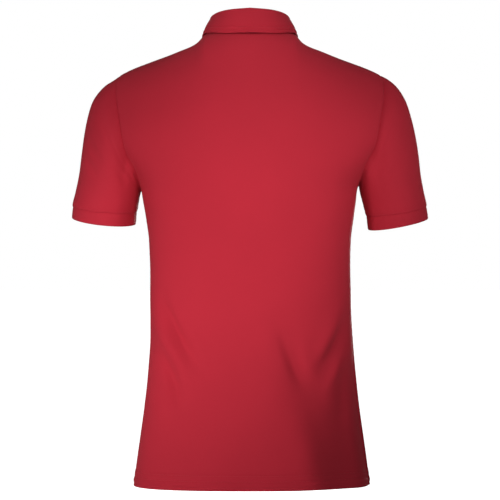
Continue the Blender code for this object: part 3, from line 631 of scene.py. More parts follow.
# --- The panels' grids ---


def side_point(share, side):
    """Where the side seam is, from the hem at 0 to the armpit at 1."""
    z = HEM_Z + share * (ARMPIT_Z[side] - HEM_Z)
    x = along(BODY, "centre", z) + SIDE[side] * along(BODY, "half_width", z)
    return float(x), z


def armhole_point(share, side, face):
    """Where the armhole is, from the armpit at 0 to the shoulder point at 1."""
    x, z = side_point(1.0, side)
    low, high = share**ARM_SPREAD, 1.0 - (1.0 - share) ** ARM_SPREAD
    rise = low + (high - low) * share
    out = along(ARMHOLE, face, rise)
    reach = (SHOULDER_X - abs(x)) / ARMHOLE[-1].back
    top = along(RIDGE, "back", SHOULDER_X)
    return SIDE[side] * (abs(x) + out * reach), z + rise * (top - z)


def shoulder_point(share, side):
    """Where the shoulder seam is, from the shoulder point at 0 to the neck at 1."""
    x = NECK_X + (SHOULDER_X - NECK_X) * (1.0 - share) ** SHOULDER_SPREAD
    return SIDE[side] * x, along(RIDGE, "back", x)


def body_shares():
    """The body's rows from the hem up, as shares of the way to the armpit."""
    length = (ARMPIT_Z["left"] + ARMPIT_Z["right"]) / 2 - HEM_Z
    count = round((length - HEM_UPS[-1]) / BODY_STEP)
    return np.concatenate([HEM_UPS, np.linspace(HEM_UPS[-1], length, count + 1)[1:]]) / length


BODY_ROWS = len(body_shares()) - 1
SHOULDER_ROW = BODY_ROWS + ARM_ROWS


def row_plan(face):
    """For each row of a panel: its two ends, its height at the centre and how fast it lifts."""
    crossing, neck = CROSSING_Z[face], NECK_Z[face]
    level = (ARMPIT_Z["left"] + ARMPIT_Z["right"]) / 2
    rows = []
    for share in body_shares()[:-1]:
        ends = [side_point(share, side) for side in SIDE]
        rows.append((*ends, HEM_Z + share * (level - HEM_Z), ROW_LIFT))
    for share in np.arange(ARM_ROWS) / ARM_ROWS:
        ends = [armhole_point(share, side, face) for side in SIDE]
        rows.append((*ends, level + share * (crossing - level), ROW_LIFT))
    for share in np.linspace(0.0, 1.0, SHOULDER_ROWS + 1):
        ends = [shoulder_point(share, side) for side in SIDE]
        lift = ROW_LIFT + (NECK_LIFT - ROW_LIFT) * share
        rows.append((*ends, crossing + share * (neck - crossing), lift))
    return rows


def row_points(row, x, face):
    """Points of a panel's row at the given places across."""
    left, right, middle, lift = row
    x = np.asarray(x, float)
    end_x = np.where(x >= 0.0, left[0], -right[0])
    end_z = np.where(x >= 0.0, left[1], right[1])
    z = middle + (end_z - middle) * np.clip(np.abs(x) / end_x, 0.0, 1.0) ** lift
    y = FACING[face] * body_depth(x, z, face)
    return np.stack([x, y, z], axis=-1)


def columns(row, face):
    """Places across a row: even along the cloth, and closer beside the two ends."""
    halves = []
    for end, sign in ((row[0][0], 1.0), (-row[1][0], -1.0)):
        swing = np.cos(math.pi / 2 * np.linspace(0.0, 1.0, 200) ** 1.3)
        x = SLIT_HALF + (end - SLIT_HALF) * swing
        length = lengths(row_points(row, sign * x, face))
        rest = np.linspace(BESIDE_SEAM[-1], length[-1], SIDE_COLUMNS + 1)[1:]
        places = np.interp(np.concatenate([BESIDE_SEAM, rest]), length, x)
        places[0], places[-1] = end, SLIT_HALF
        halves.append(sign * places)
    centre = np.linspace(SLIT_HALF, -SLIT_HALF, CENTRE_COLUMNS + 1)[1:-1]
    return np.concatenate([halves[0], centre, halves[1][::-1]])


def panel_grid(face):
    """A panel's points, from hem to neck and from the wearer's left to the right."""
    grid = np.array([row_points(row, columns(row, face), face) for row in row_plan(face)])
    for column in (0, -1):
        grid[: BODY_ROWS + 1, column, 1] = 0.0  # the side seam
        grid[SHOULDER_ROW:, column, 1] = 0.0  # the shoulder seam
    return grid


def creased_panel(face):
    """A panel's points with the soft creases in them."""
    grid = panel_grid(face)
    x, z = grid[..., 0], grid[..., 2]
    relief = crease_height(x, z, face) + unevenness(x, z)
    relief *= round_off(across_share(x, z), FOLD_FADE)
    up = lengths(grid[SHOULDER_ROW:])
    relief[SHOULDER_ROW:] *= smooth((up[-1:] - up) / CREASE_FADE)
    return grid + relief[..., None] * facet_normals(grid, False, FACING[face])


# --- The sleeves' grids ---


def armhole_loop(panels, side):
    """The armhole's points, from the shoulder point down the back and up the front."""
    column = 0 if side == "left" else -1
    arm = slice(BODY_ROWS, SHOULDER_ROW + 1)
    back = panels["back"][arm, column][::-1]
    front = panels["front"][arm, column]
    return np.concatenate([back, front[1:-1]])


def loop_angles(loop):
    """An angle for each point of the armhole, by the length of cloth up to it."""
    length = lengths(close(loop))
    half = ARM_ROWS
    back = math.pi * length[: half + 1] / length[half]
    front = math.pi + math.pi * (length[half:-1] - length[half]) / (length[-1] - length[half])
    return np.concatenate([back, front[1:]])


def sleeve_ring(side, station, angles):
    """An oval across the sleeve, through its upper and lower edges."""
    names = SLEEVE[side][0]._fields[1:]
    size = {name: float(along(SLEEVE[side], name, station)) for name in names}
    top = np.array([SIDE[side] * size["out_x"], -size["forward"], size["out_z"]])
    low = np.array([SIDE[side] * size["in_x"], -size["forward"], size["in_z"]])
    if station < 1e-9:
        top[1] = low[1] = 0.0
    across = np.array([0.0, size["depth"], -size["drop"]])
    cosine, sine = np.cos(angles)[:, None], np.sin(angles)[:, None]
    return (top + low) / 2 + (top - low) / 2 * cosine + across * sine


def sleeve_grid(panels, side, stations):
    """The sleeve's rings, which start as the armhole and turn into ovals, with creases."""
    loop = armhole_loop(panels, side)
    angles = loop_angles(loop)
    away = loop - sleeve_ring(side, 0.0, angles)
    rings = []
    for station in stations:
        ease = max(0.0, 1.0 - station) ** ARMHOLE_FADE
        rings.append(sleeve_ring(side, station, angles) + ease * away)
    grid = np.array(rings)
    x, z = grid[..., 0], grid[..., 2]
    sine = np.sin(angles)[None, :]
    relief = np.where(sine > 0.0, crease_height(x, z, "back"), crease_height(x, z, "front"))
    relief = relief + unevenness(x, z)
    ease = np.clip(1.0 - np.asarray(stations), 0.0, 1.0)[:, None] ** ARMHOLE_FADE
    relief *= smooth(np.abs(sine) / 0.5) * (1.0 - ease)
    return grid + relief[..., None] * facet_normals(grid, True, -SIDE[side])


def ring_stations(first, last, rings):
    """Where the rings of a sleeve or cuff are, closer beside its two ends."""
    near = BESIDE_SEAM / SLEEVE_LENGTH
    middle = np.linspace(first + near[-1], last - near[-1], rings + 1)[1:-1]
    return np.concatenate([first + near, middle, last - near[::-1]])


# --- The whole shirt ---

# A piece's points, which way round they go and the direction out at each of them.
Sheet = namedtuple("Sheet", "grid closed turn normals")


def edge_places(grid, closed):
    """The rows and columns of a grid's edge points."""
    edge = np.zeros(grid.shape[:2], bool)
    edge[0] = edge[-1] = True
    if not closed:
        edge[:, 0] = edge[:, -1] = True
    return np.nonzero(edge)


def share_normals(sheets):
    """Makes the direction out of the cloth the same on both sides of every seam."""
    places = []
    for name, sheet in sheets.items():
        places += [(name, i, j) for i, j in zip(*edge_places(sheet.grid, sheet.closed))]
    tree = find_tree([sheets[name].grid[i, j] for name, i, j in places])
    sums = []
    for name, i, j in places:
        near = tree.find_range(Vector(sheets[name].grid[i, j]), 2e-6)
        found = [places[k] for _, k, _ in near]
        sums.append(unit(sum(sheets[of].normals[row, column] for of, row, column in found)))
    for (name, i, j), normal in zip(places, sums):
        sheets[name].normals[i, j] = normal


@lru_cache(maxsize=1)
def shirt_form():
    """The points of all sewn pieces, and the directions out of them."""
    panels = {face: creased_panel(face) for face in FACING}
    grids = {face: (panels[face], False, FACING[face]) for face in FACING}
    sleeve = ring_stations(0.0, 1.0, SLEEVE_RINGS)
    cuff = ring_stations(1.0, CUFF_END, CUFF_RINGS)
    for side, sign in SIDE.items():
        grids[f"sleeve_{side}"] = (sleeve_grid(panels, side, sleeve), True, -sign)
        grids[f"cuff_{side}"] = (sleeve_grid(panels, side, cuff), True, -sign)
    sheets = {}
    for name, (grid, closed, turn) in grids.items():
        sheets[name] = Sheet(grid, closed, turn, facet_normals(grid, closed, turn))
    share_normals(sheets)
    return sheets


def seam_distance(grid, line):
    """For each point of a grid, how far a seam is and how far along the seam that is."""
    length = lengths(line)
    count = max(2, int(length[-1] / 0.0005))
    want = np.linspace(0.0, length[-1], count)
    tree = find_tree(np.stack([np.interp(want, length, line[:, k]) for k in range(3)], axis=-1))
    flat = grid.reshape(-1, 3)
    distance, place = np.full(len(flat), SEAM_FELT), np.zeros(len(flat))
    for k, point in enumerate(flat):
        found = tree.find(point)
        if found[2] < SEAM_FELT:
            distance[k], place[k] = found[2], want[found[1]]
    return distance.reshape(grid.shape[:2]), place.reshape(grid.shape[:2])


def seam_relief(distance, place):
    """How far a seam moves the cloth beside it: a fine valley, with small puckers."""
    valley = -SEAM_DEPTH * np.exp(-distance / SEAM_REACH)
    swell = distance / PUCKER_OUT * np.exp(1.0 - distance / PUCKER_OUT)
    wander = 0.8 * np.sin(place / 0.031)
    pucker = np.sin(2.0 * math.pi * place / PUCKER_LENGTH + wander)
    return valley + PUCKER_HEIGHT * swell * pucker * (0.6 + 0.4 * np.sin(place / 0.047))


def groove(distance):
    """How far a row of stitches draws the cloth in."""
    return -STITCH_GROOVE * bell(distance, GROOVE_WIDTH)


def turned_in(distance):
    """How much thicker the wall is beside a seam, where the cloth's edge is turned in."""
    far = smooth((distance - TURNED_IN.width) / TURNED_IN.fade)
    return TURNED_IN.more * (1.0 - far) * smooth(distance / 0.001)


def inset(edge, inside, normals, closed):
    """The moves that draw a seam's edge back into its piece by half of the seam's gap."""
    step = np.roll(edge, -1, axis=0) - edge
    inward = unit(np.cross(step, normals + np.roll(normals, -1, axis=0)))
    if not closed:
        inward[-1] = inward[-2]
    before = np.roll(inward, 1, axis=0)
    if not closed:
        before[0] = inward[0]
    if np.sum(inward * (inside - edge)) < 0.0:
        inward, before = -inward, -before
    share = 1.0 + np.sum(inward * before, axis=1, keepdims=True)
    return SEAM_GAP / 2 * (inward + before) / np.maximum(share, 0.5)


def ring_insets(sheet, pairs):
    """The moves of a sleeve's or cuff's sewn rings, each given with the ring beside it."""
    moves = np.zeros(sheet.grid.shape)
    for row, beside in pairs:
        moves[row] = inset(sheet.grid[row], sheet.grid[beside], sheet.normals[row], True)
    return moves


def worked(sheet, moves, relief, wall):
    """A sheet's outer and inner points, with its seams worked in."""
    outer = sheet.grid + moves + relief[..., None] * sheet.normals
    return outer, outer - wall[..., None] * sheet.normals


def cloth_places(grid, closed):
    """Places in the flat cloth for each point: across it, and up along its grain."""
    if closed:
        grid = np.concatenate([grid, grid[:, :1]], axis=1)
    plan = grid.copy()
    plan[..., 2] *= 0.35
    across = lengths(plan.transpose(1, 0, 2)).T
    across = across - across[:, across.shape[1] // 2][:, None]
    return np.stack([across, lengths(grid)], axis=-1)


# --- Meshes ---


def add_object(name, data):
    made = bpy.data.objects.new(name, data)
    bpy.context.scene.collection.objects.link(made)
    return made


def new_piece(name, points, faces, places, finish):
    """An object from points, four-cornered faces and each corner's place in the cloth."""
    mesh = bpy.data.meshes.new(name)
    mesh.from_pydata(points.tolist(), [], faces.tolist())
    layer = mesh.uv_layers.new(name="cloth")
    layer.data.foreach_set("uv", places.reshape(-1).astype(np.float32))
    mesh.materials.append(finish)
    mesh.shade_smooth()
    return add_object(name, mesh)


def shell(name, outer, inner, normals, turn, finish, closed=False, kept=None, push=0.0001):
    """A closed wall between two matching grids of points, with rounded edges."""
    rows, count = outer.shape[:2]
    wide = count if closed else count - 1
    places = cloth_places(outer, closed)
    kept = np.ones((rows - 1, wide), bool) if kept is None else kept
    i, j = np.nonzero(kept)

    def number(i, j):
        return i * count + j % count

    corners = [(i, j), (i, j + 1), (i + 1, j + 1), (i + 1, j)]
    face = np.stack([number(*corner) for corner in corners], axis=1)
    place = np.stack([places[corner] for corner in corners], axis=1)
    full = rows * count
    faces, uvs = [face, face[:, ::-1] + full], [place, place[:, ::-1]]

    def missing(i, j):
        inside = (i >= 0) & (i < rows - 1)
        across = j % count if closed else j
        inside &= (across >= 0) & (across < wide)
        return ~(inside & kept[np.clip(i, 0, rows - 2), np.clip(across, 0, wide - 1)])

    starts, ends = [], []
    for k, (step_i, step_j) in enumerate(((-1, 0), (0, 1), (1, 0), (0, -1))):
        free = missing(i + step_i, j + step_j)
        for corner, found in ((corners[k], starts), (corners[(k + 1) % 4], ends)):
            found.append(np.stack([corner[0][free], corner[1][free]], axis=1))
    start, end = np.concatenate(starts), np.concatenate(ends)
    a, b = number(*start.T), number(*end.T)
    flat, flat_in, flat_n = (item.reshape(-1, 3) for item in (outer, inner, normals))
    out = np.zeros_like(flat)
    for corner in (a, b):
        np.add.at(out, corner, turn * np.cross(flat[b] - flat[a], flat_n[corner]))
    rim = np.unique(np.concatenate([a, b]))
    middle = (flat[rim] + flat_in[rim]) / 2 + push * unit(out[rim])
    where = np.zeros(full, int)
    where[rim] = 2 * full + np.arange(len(rim))
    start_uv, end_uv = places[tuple(start.T)], places[tuple(end.T)]
    lines = [(a, b), (where[a], where[b]), (a + full, b + full)]
    for first, second in zip(lines, lines[1:]):
        faces.append(np.stack([first[1], first[0], second[0], second[1]], axis=1))
        uvs.append(np.stack([end_uv, start_uv, start_uv, end_uv], axis=1))
    faces, uvs = np.concatenate(faces), np.concatenate(uvs)
    if turn < 0:
        faces, uvs = faces[:, ::-1], uvs[:, ::-1]
    points = np.concatenate([flat, flat_in, middle])
    used = np.zeros(len(points), bool)
    used[faces] = True
    renumber = np.cumsum(used) - 1
    return new_piece(name, points[used], renumber[faces], uvs, finish)


def edge_line(grid, normals, distance, from_end=False, across=False, closed=False):
    """A line on the cloth at a distance from one of its edges, with the directions out."""
    if across:
        grid, normals = grid.transpose(1, 0, 2), normals.transpose(1, 0, 2)
    if from_end:
        grid, normals = grid[::-1], normals[::-1]
    far = lengths(grid)
    k = np.argmax(far > distance, axis=0)
    column = np.arange(grid.shape[1])
    share = (distance - far[k - 1, column]) / (far[k, column] - far[k - 1, column])
    share = share[:, None]
    points = grid[k - 1, column] * (1 - share) + grid[k, column] * share
    outs = unit(normals[k - 1, column] * (1 - share) + normals[k, column] * share)
    return (close(points), close(outs)) if closed else (points, outs)


def along_line(points, outs, want):
    """Places on a line at the given lengths, with the directions out."""
    length = lengths(points)
    place = np.stack([np.interp(want, length, points[:, k]) for k in range(3)], axis=-1)
    out = np.stack([np.interp(want, length, outs[:, k]) for k in range(3)], axis=-1)
    return place, unit(out)


def stitch_ends(line, sizes, margin=0.0015):
    """Where the stitches of a row start and end, and the directions out of the cloth."""
    points, outs = line
    total = lengths(points)[-1]
    pitch = sizes.stitch_length + sizes.stitch_gap
    count = max(1, int((total - 2 * margin + sizes.stitch_gap) / pitch))
    pitch = (total - 2 * margin + sizes.stitch_gap) / count
    start = margin + pitch * np.arange(count)
    starts, out = along_line(points, outs, start)
    ends, _ = along_line(points, outs, start + pitch - sizes.stitch_gap)
    return starts, ends, out


def sew(name, rows, radius, lift=0.35):
    """Threads laid from start to end, each going into the cloth at its two ends."""
    starts, ends, outs = (np.concatenate([row[k] for row in rows]) for k in range(3))
    ahead = unit(ends - starts)
    outs = unit(outs - ahead * np.sum(outs * ahead, axis=1, keepdims=True))
    beside = np.cross(ahead, outs)
    shares = np.array([0.0, 0.14, 0.38, 0.62, 0.86, 1.0])
    heights = radius * (lift + np.array([-1.5, -0.2, 0.35, 0.35, -0.2, -1.5]))
    swells = radius * np.array([0.45, 0.9, 1.0, 1.0, 0.9, 0.45])
    sides = THREAD_SIDES
    turn = np.linspace(0.0, 2.0 * math.pi, sides, endpoint=False)
    count, rings = len(starts), len(shares)
    spine = starts[:, None] + (ends - starts)[:, None] * shares[:, None]
    spine = spine + outs[:, None] * heights[:, None]
    round_it = beside[:, None, None] * np.cos(turn)[:, None]
    round_it = round_it + outs[:, None, None] * np.sin(turn)[:, None]
    points = spine[:, :, None] + round_it * swells[:, None, None]
    base = (np.arange(count) * rings * sides)[:, None, None]
    low = base + (np.arange(rings - 1) * sides)[:, None]
    k = np.arange(sides)
    after = (k + 1) % sides
    corners = (low + k, low + sides + k, low + sides + after, low + after)
    faces = [np.stack(np.broadcast_arrays(*corners), axis=-1).reshape(-1, 4)]
    last = (rings - 1) * sides
    caps = ((0, (0, 1, 2, 3)), (0, (3, 4, 5, 0)), (last, (3, 2, 1, 0)), (last, (0, 5, 4, 3)))
    faces += [base[:, 0] + first + np.array(order) for first, order in caps]
    faces = np.concatenate(faces)
    length = np.linalg.norm(ends - starts, axis=1)
    up = (np.arange(count) * 0.0037)[:, None, None] + length[:, None, None] * shares[:, None]
    around = np.broadcast_to(radius * turn, (1, 1, sides))
    uv = np.stack(np.broadcast_arrays(around, up), axis=-1).reshape(-1, 2)
    return new_piece(name, points.reshape(-1, 3), faces, uv[faces], thread_finish())


# --- Finishes ---


class Finish:
    """A material's nodes, added and joined up in a few words."""

    def __init__(self, name):
        self.made = bpy.data.materials.new(name)
        self.made.use_nodes = True
        self.tree = self.made.node_tree
        self.shader = self.tree.nodes["Principled BSDF"]

    def node(self, kind, **values):
        node = self.tree.nodes.new(kind)
        for name, value in values.items():
            setattr(node, name, value)
        return node

    def join(self, source, target):
        self.tree.links.new(source, target)

    def sum(self, operation, first, second=0.0, third=0.0):
        node = self.node("ShaderNodeMath", operation=operation)
        for socket, value in zip(node.inputs, (first, second, third)):
            if isinstance(value, (int, float)):
                socket.default_value = value
            else:
                self.join(value, socket)
        return node.outputs[0]

    def add(self, source, times, to):
        """A source times a number, added to another source or number."""
        return self.sum("MULTIPLY_ADD", source, times, to)

    def cosine(self, place, repeat):
        return self.sum("COSINE", self.sum("MULTIPLY", place, 2.0 * math.pi / repeat))

    def places(self):
        """Across and up the cloth, in metres."""
        source = self.node("ShaderNodeUVMap", uv_map="cloth")
        parts = self.node("ShaderNodeSeparateXYZ")
        self.join(source.outputs[0], parts.inputs[0])
        return source.outputs[0], parts.outputs[0], parts.outputs[1]

    def noise(self, vector, per_metre, detail=2.0):
        node = self.node("ShaderNodeTexNoise")
        self.join(vector, node.inputs["Vector"])
        node.inputs["Scale"].default_value = per_metre
        node.inputs["Detail"].default_value = detail
        return node.outputs["Fac"]

    def object_places(self):
        return self.node("ShaderNodeTexCoord").outputs["Object"]

    def paint(self, share, colour, dark, light):
        """Gives the shader a colour, from darker to lighter by a share."""
        node = self.node("ShaderNodeMix", data_type="RGBA")
        self.join(share, node.inputs["Factor"])
        for name, level in (("A", dark), ("B", light)):
            node.inputs[name].default_value = (*(part * level for part in colour[:3]), 1.0)
        self.join(node.outputs["Result"], self.shader.inputs["Base Color"])

    def roughen(self, source, spread, least):
        self.join(self.add(source, spread, least), self.shader.inputs["Roughness"])

    def bump(self, height, distance, strength):
        node = self.node("ShaderNodeBump")
        node.inputs["Distance"].default_value = distance
        node.inputs["Strength"].default_value = strength
        self.join(height, node.inputs["Height"])
        self.join(node.outputs[0], self.shader.inputs["Normal"])

    def set(self, **values):
        for name, value in values.items():
            self.shader.inputs[name.replace("_", " ")].default_value = value

    def set_knit(self):
        """A cotton knit's faint shine and its pale fuzz."""
        self.set(Metallic=0.0, Specular_IOR_Level=0.16, Sheen_Weight=0.02)
        self.set(Sheen_Roughness=0.6, Sheen_Tint=(1.0, 0.80, 0.80, 1.0))


@lru_cache(maxsize=1)
def pique_finish():
    """Cotton pique: small raised cells in staggered rows, with painted shade in the hollows
    between them.
    """
    shirt = bpy.context.scene.polo_shirt
    finish = Finish("pique_knit_red")
    vector, across, up = finish.places()
    solid = finish.object_places()
    cells = finish.sum(
        "MULTIPLY",
        finish.cosine(across, shirt.sizes.pique_across),
        finish.cosine(up, shirt.sizes.pique_up),
    )
    raised = finish.sum("POWER", finish.add(cells, 0.5, 0.5), 0.7)
    yarn = finish.cosine(across, shirt.sizes.pique_across / 5)
    fuzz = finish.noise(vector, 2600.0, 3.0)
    finish.bump(finish.add(fuzz, 0.35, finish.add(yarn, 0.08, raised)), 0.00022, 0.75)
    # Painted shade: the raised cells are painted lighter and the hollows between them darker.
    # The two noises add uneven tone to the cloth.
    share = finish.add(raised, 0.30, 0.35)
    share = finish.add(finish.noise(solid, 11.0), 0.30, share)
    share = finish.add(finish.noise(vector, 420.0), 0.22, share)
    share = finish.sum("SUBTRACT", share, 0.26)
    finish.paint(share, shirt.colours.cloth, 0.80, 1.10)
    finish.roughen(fuzz, 0.14, 0.74)
    finish.set_knit()
    return finish.made


@lru_cache(maxsize=1)
def rib_finish():
    """Flat knit for the collar and cuffs: fine ribs across the band, with rows of loops and
    painted shade between the ribs and loops.
    """
    shirt = bpy.context.scene.polo_shirt
    finish = Finish("flat_knit_red")
    vector, across, up = finish.places()
    solid = finish.object_places()
    rib = finish.add(finish.cosine(across, shirt.sizes.rib_pitch), 0.5, 0.5)
    rib = finish.sum("POWER", rib, 0.6)
    lean = finish.add(rib, 0.00022, up)
    loops = finish.cosine(lean, shirt.sizes.rib_pitch * 0.55)
    fuzz = finish.noise(vector, 2600.0, 3.0)
    finish.bump(finish.add(fuzz, 0.35, finish.add(loops, 0.16, rib)), 0.00026, 0.75)
    # Painted shade: the crests of the ribs and loops are painted lighter and the hollows
    # between them darker. The noise adds uneven tone to the knit.
    share = finish.add(rib, 0.34, 0.28)
    share = finish.add(finish.noise(solid, 16.0), 0.32, share)
    share = finish.add(loops, 0.06, share)
    finish.paint(share, shirt.colours.cloth, 0.78, 1.08)
    finish.roughen(fuzz, 0.14, 0.72)
    finish.set_knit()
    return finish.made


@lru_cache(maxsize=1)
def thread_finish():
    """Spun polyester sewing thread, with the twist of its plies and painted shade in the
    grooves between them.
    """
    finish = Finish("sewing_thread_red")
    vector, around, length = finish.places()
    slant = finish.add(length, 1.2, around)
    twist = finish.add(finish.cosine(slant, 0.00046), 0.5, 0.5)
    finish.bump(twist, 0.00008, 0.8)
    # Painted shade: the crests of the plies are painted lighter and the grooves of the twist
    # darker.
    finish.paint(twist, bpy.context.scene.polo_shirt.colours.thread, 0.75, 1.1)
    finish.roughen(finish.noise(vector, 3000.0), 0.15, 0.45)
    finish.set(Metallic=0.0, Specular_IOR_Level=0.22, Sheen_Weight=0.03)
    return finish.made


@lru_cache(maxsize=1)
def button_finish():
    """Dyed resin with a faint cloudiness, polished but handled."""
    finish = Finish("dyed_resin_red")
    solid = finish.object_places()
    cloud = finish.noise(solid, 420.0, 3.0)
    scuff = finish.noise(solid, 2400.0, 4.0)
    finish.paint(cloud, bpy.context.scene.polo_shirt.colours.button, 0.8, 1.35)
    finish.roughen(scuff, 0.22, 0.22)
    finish.bump(scuff, 0.00002, 0.4)
    finish.set(Metallic=0.0, Coat_Weight=0.25, Coat_Roughness=0.22, IOR=1.54)
    return finish.made


# --- Pieces ---


def settle(piece, node=None):
    """Fixes a finished piece to the shirt, in place of its plain solid."""
    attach(piece, "root")
    if node:
        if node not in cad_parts:
            raise RuntimeError(f"the frame has no node {node}")
        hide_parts(node)
    return piece


def panel_edges(grid):
    """A panel's sewn edges: up one side, across the neck and down the other."""
    last_row, last = grid.shape[0] - 1, grid.shape[1] - 1
    path = [(i, 0) for i in range(last_row)]
    path += [(last_row, j) for j in range(last + 1)]
    path += [(i, last) for i in reversed(range(last_row))]
    return np.array(path).T


def hem_relief(up, across):
    """The turned hem: a soft band that its two rows of stitches draw in."""
    relief = sum(roll.height * bell(up - roll.up, roll.width) for roll in HEM_ROLL)
    between = (up - HEM_LINES[0]) / (HEM_LINES[1] - HEM_LINES[0])
    relief = relief + HEM_SWELL * np.sin(math.pi * np.clip(between, 0.0, 1.0))
    relief = relief + HEM_STEP.height * (1.0 - smooth((up - HEM_STEP.up) / HEM_STEP.fade))
    slant = (across + 0.5 * up) / HEM_RIPPLE.length
    ripple = np.sin(2.0 * math.pi * slant + 1.1 * np.sin(across / 0.05))
    fade = smooth(up / 0.006) * (1.0 - smooth((up - 0.022) / 0.014))
    rows = sum(groove(up - line) for line in HEM_LINES)
    return relief + rows + HEM_RIPPLE.height * ripple * fade


def panel_wall(face):
    """A panel's outer and inner points, with its seams and its hem worked in."""
    sheet = shirt_form()[face]
    grid = sheet.grid
    row, column = panel_edges(grid)
    edge = grid[row, column]
    distance, place = seam_distance(grid, edge)
    up = lengths(grid)
    relief = seam_relief(distance, place) + hem_relief(up, cloth_places(grid, False)[..., 0])
    if face == "back":
        relief = relief + groove(lengths_back(grid) - NECK_LINE)
    relief = relief - EDGE_ROUND * bell(up, EDGE_WIDTH)
    beside = np.minimum(row, len(grid) - 2), np.clip(column, 1, grid.shape[1] - 2)
    moves = np.zeros(grid.shape)
    moves[row, column] = inset(edge, grid[beside], sheet.normals[row, column], False)
    turned = HEM_TURN.more * (1.0 - smooth((up - HEM_TURN.up) / HEM_TURN.fade))
    turned = turned * smooth(up / HEM_TURN.fade)
    wall = CLOTH + np.maximum(turned_in(distance), turned) + np.minimum(relief, 0.0)
    wall = np.maximum(wall, THINNEST) - 0.8 * EDGE_ROUND * bell(up, EDGE_WIDTH)
    return *worked(sheet, moves, relief, wall), sheet.normals


def slit_kept(rows, wide):
    """All cells but those cut out of the front under the placket."""
    kept = np.ones((rows - 1, wide), bool)
    first = SIDE_COLUMNS + len(BESIDE_SEAM) - 1
    kept[BODY_ROWS + UNDER_ROW :, first : first + CENTRE_COLUMNS] = False
    return kept


class POLO_OT_panels(Operator):
    """Makes the back and the front of the body, with the hem and its stitches"""

    bl_idname = "polo_shirt.panels"
    bl_label = "Body panels"

    def execute(self, context):
        sizes = context.scene.polo_shirt.sizes
        for face, area in (("back", 0.330), ("front", 0.318)):
            outer, inner, normals = panel_wall(face)
            kept = slit_kept(outer.shape[0], outer.shape[1] - 1) if face == "front" else None
            name = f"{face}_panel_cloth"
            panel = shell(name, outer, inner, normals, FACING[face], pique_finish(), kept=kept)
            settle(panel, f"{face}_panel")
            rows = [stitch_ends(edge_line(outer, normals, up), sizes) for up in HEM_LINES]
            hem = sew(f"hem_stitches_{face}", rows, sizes.thread_radius)
            settle(hem)
        return {"FINISHED"}


class POLO_OT_sleeves(Operator):
    """Makes the two set-in sleeves and their flat-knit cuffs, with the stitches between"""

    bl_idname = "polo_shirt.sleeves"
    bl_label = "Sleeves and cuffs"

    def execute(self, context):
        sizes = context.scene.polo_shirt.sizes
        for side in SIDE:
            self.sleeve(side, sizes)
            self.cuff(side)
        return {"FINISHED"}

    def sleeve(self, side, sizes):
        sheet = shirt_form()[f"sleeve_{side}"]
        grid, normals = sheet.grid, sheet.normals
        relief = np.zeros(grid.shape[:2])
        nearest = np.full(grid.shape[:2], 1.0)
        underarm = grid[:, ARM_ROWS]
        for line in (close(grid[0]), close(grid[-1]), underarm):
            distance, place = seam_distance(grid, line)
            relief = np.minimum(relief, 0.0) + seam_relief(distance, place)
            nearest = np.minimum(nearest, distance)
        relief = relief + groove(lengths_back(grid) - CUFF_LINE)
        wall = CLOTH + turned_in(nearest) + np.minimum(relief, 0.0)
        moves = ring_insets(sheet, ((0, 1), (-1, -2)))
        outer, inner = worked(sheet, moves, relief, np.maximum(wall, THINNEST))
        name = f"sleeve_{side}_cloth"
        cloth = shell(name, outer, inner, normals, sheet.turn, pique_finish(), closed=True)
        settle(cloth, f"sleeve_{side}")
        line = edge_line(outer, normals, CUFF_LINE, from_end=True, closed=True)
        rows = [stitch_ends(line, sizes, margin=0.0003)]
        row = sew(f"cuff_stitches_{side}", rows, sizes.thread_radius)
        settle(row)

    def cuff(self, side):
        sheet = shirt_form()[f"cuff_{side}"]
        grid = sheet.grid
        down = lengths(grid)
        relief = -CUFF_PINCH * (1.0 - down / down[-1:])
        underarm = grid[:, ARM_ROWS]
        for line in (close(grid[0]), underarm):
            relief = relief + seam_relief(*seam_distance(grid, line))
        edge = 1.5 * EDGE_ROUND * bell(down[-1:] - down, RIB_EDGE_WIDTH)
        outer, inner = worked(sheet, ring_insets(sheet, ((0, 1),)), relief - edge, RIB - edge)
        cloth = shell(f"cuff_{side}_knit", outer, inner, sheet.normals, sheet.turn,
                      rib_finish(), closed=True, push=0.0003)
        settle(cloth, f"cuff_{side}")


def neck_stations():
    """The neck seam's points under the collar, from right to left round the back."""
    panels = shirt_form()
    count = panels["back"].grid.shape[1]
    half = count // 2
    middles, ups = [], []
    for face, picks in (
        ("front", range(half, count)),
        ("back", range(count - 2, 0, -1)),
        ("front", range(0, half + 1)),
    ):
        grid, normals = panels[face].grid, panels[face].normals
        for j in picks:
            middles.append(grid[-1, j] - CLOTH / 2 * normals[-1, j])
            ups.append(grid[-1, j] - grid[-2, j])
    middles, ups = np.array(middles), np.array(ups)
    tangent = unit(np.gradient(middles, axis=0))
    ups = unit(ups - tangent * np.sum(ups * tangent, axis=1, keepdims=True))
    stations = middles + NECK_GAP * ups
    stations[0, 0], stations[-1, 0] = -COLLAR_END_X, COLLAR_END_X
    keep = [0]
    for k in range(1, len(stations) - 1):  # leaves out points nearly on top of each other
        if np.linalg.norm(stations[k] - stations[keep[-1]]) > 0.0006:
            keep.append(k)
    return stations[keep + [len(stations) - 1]]


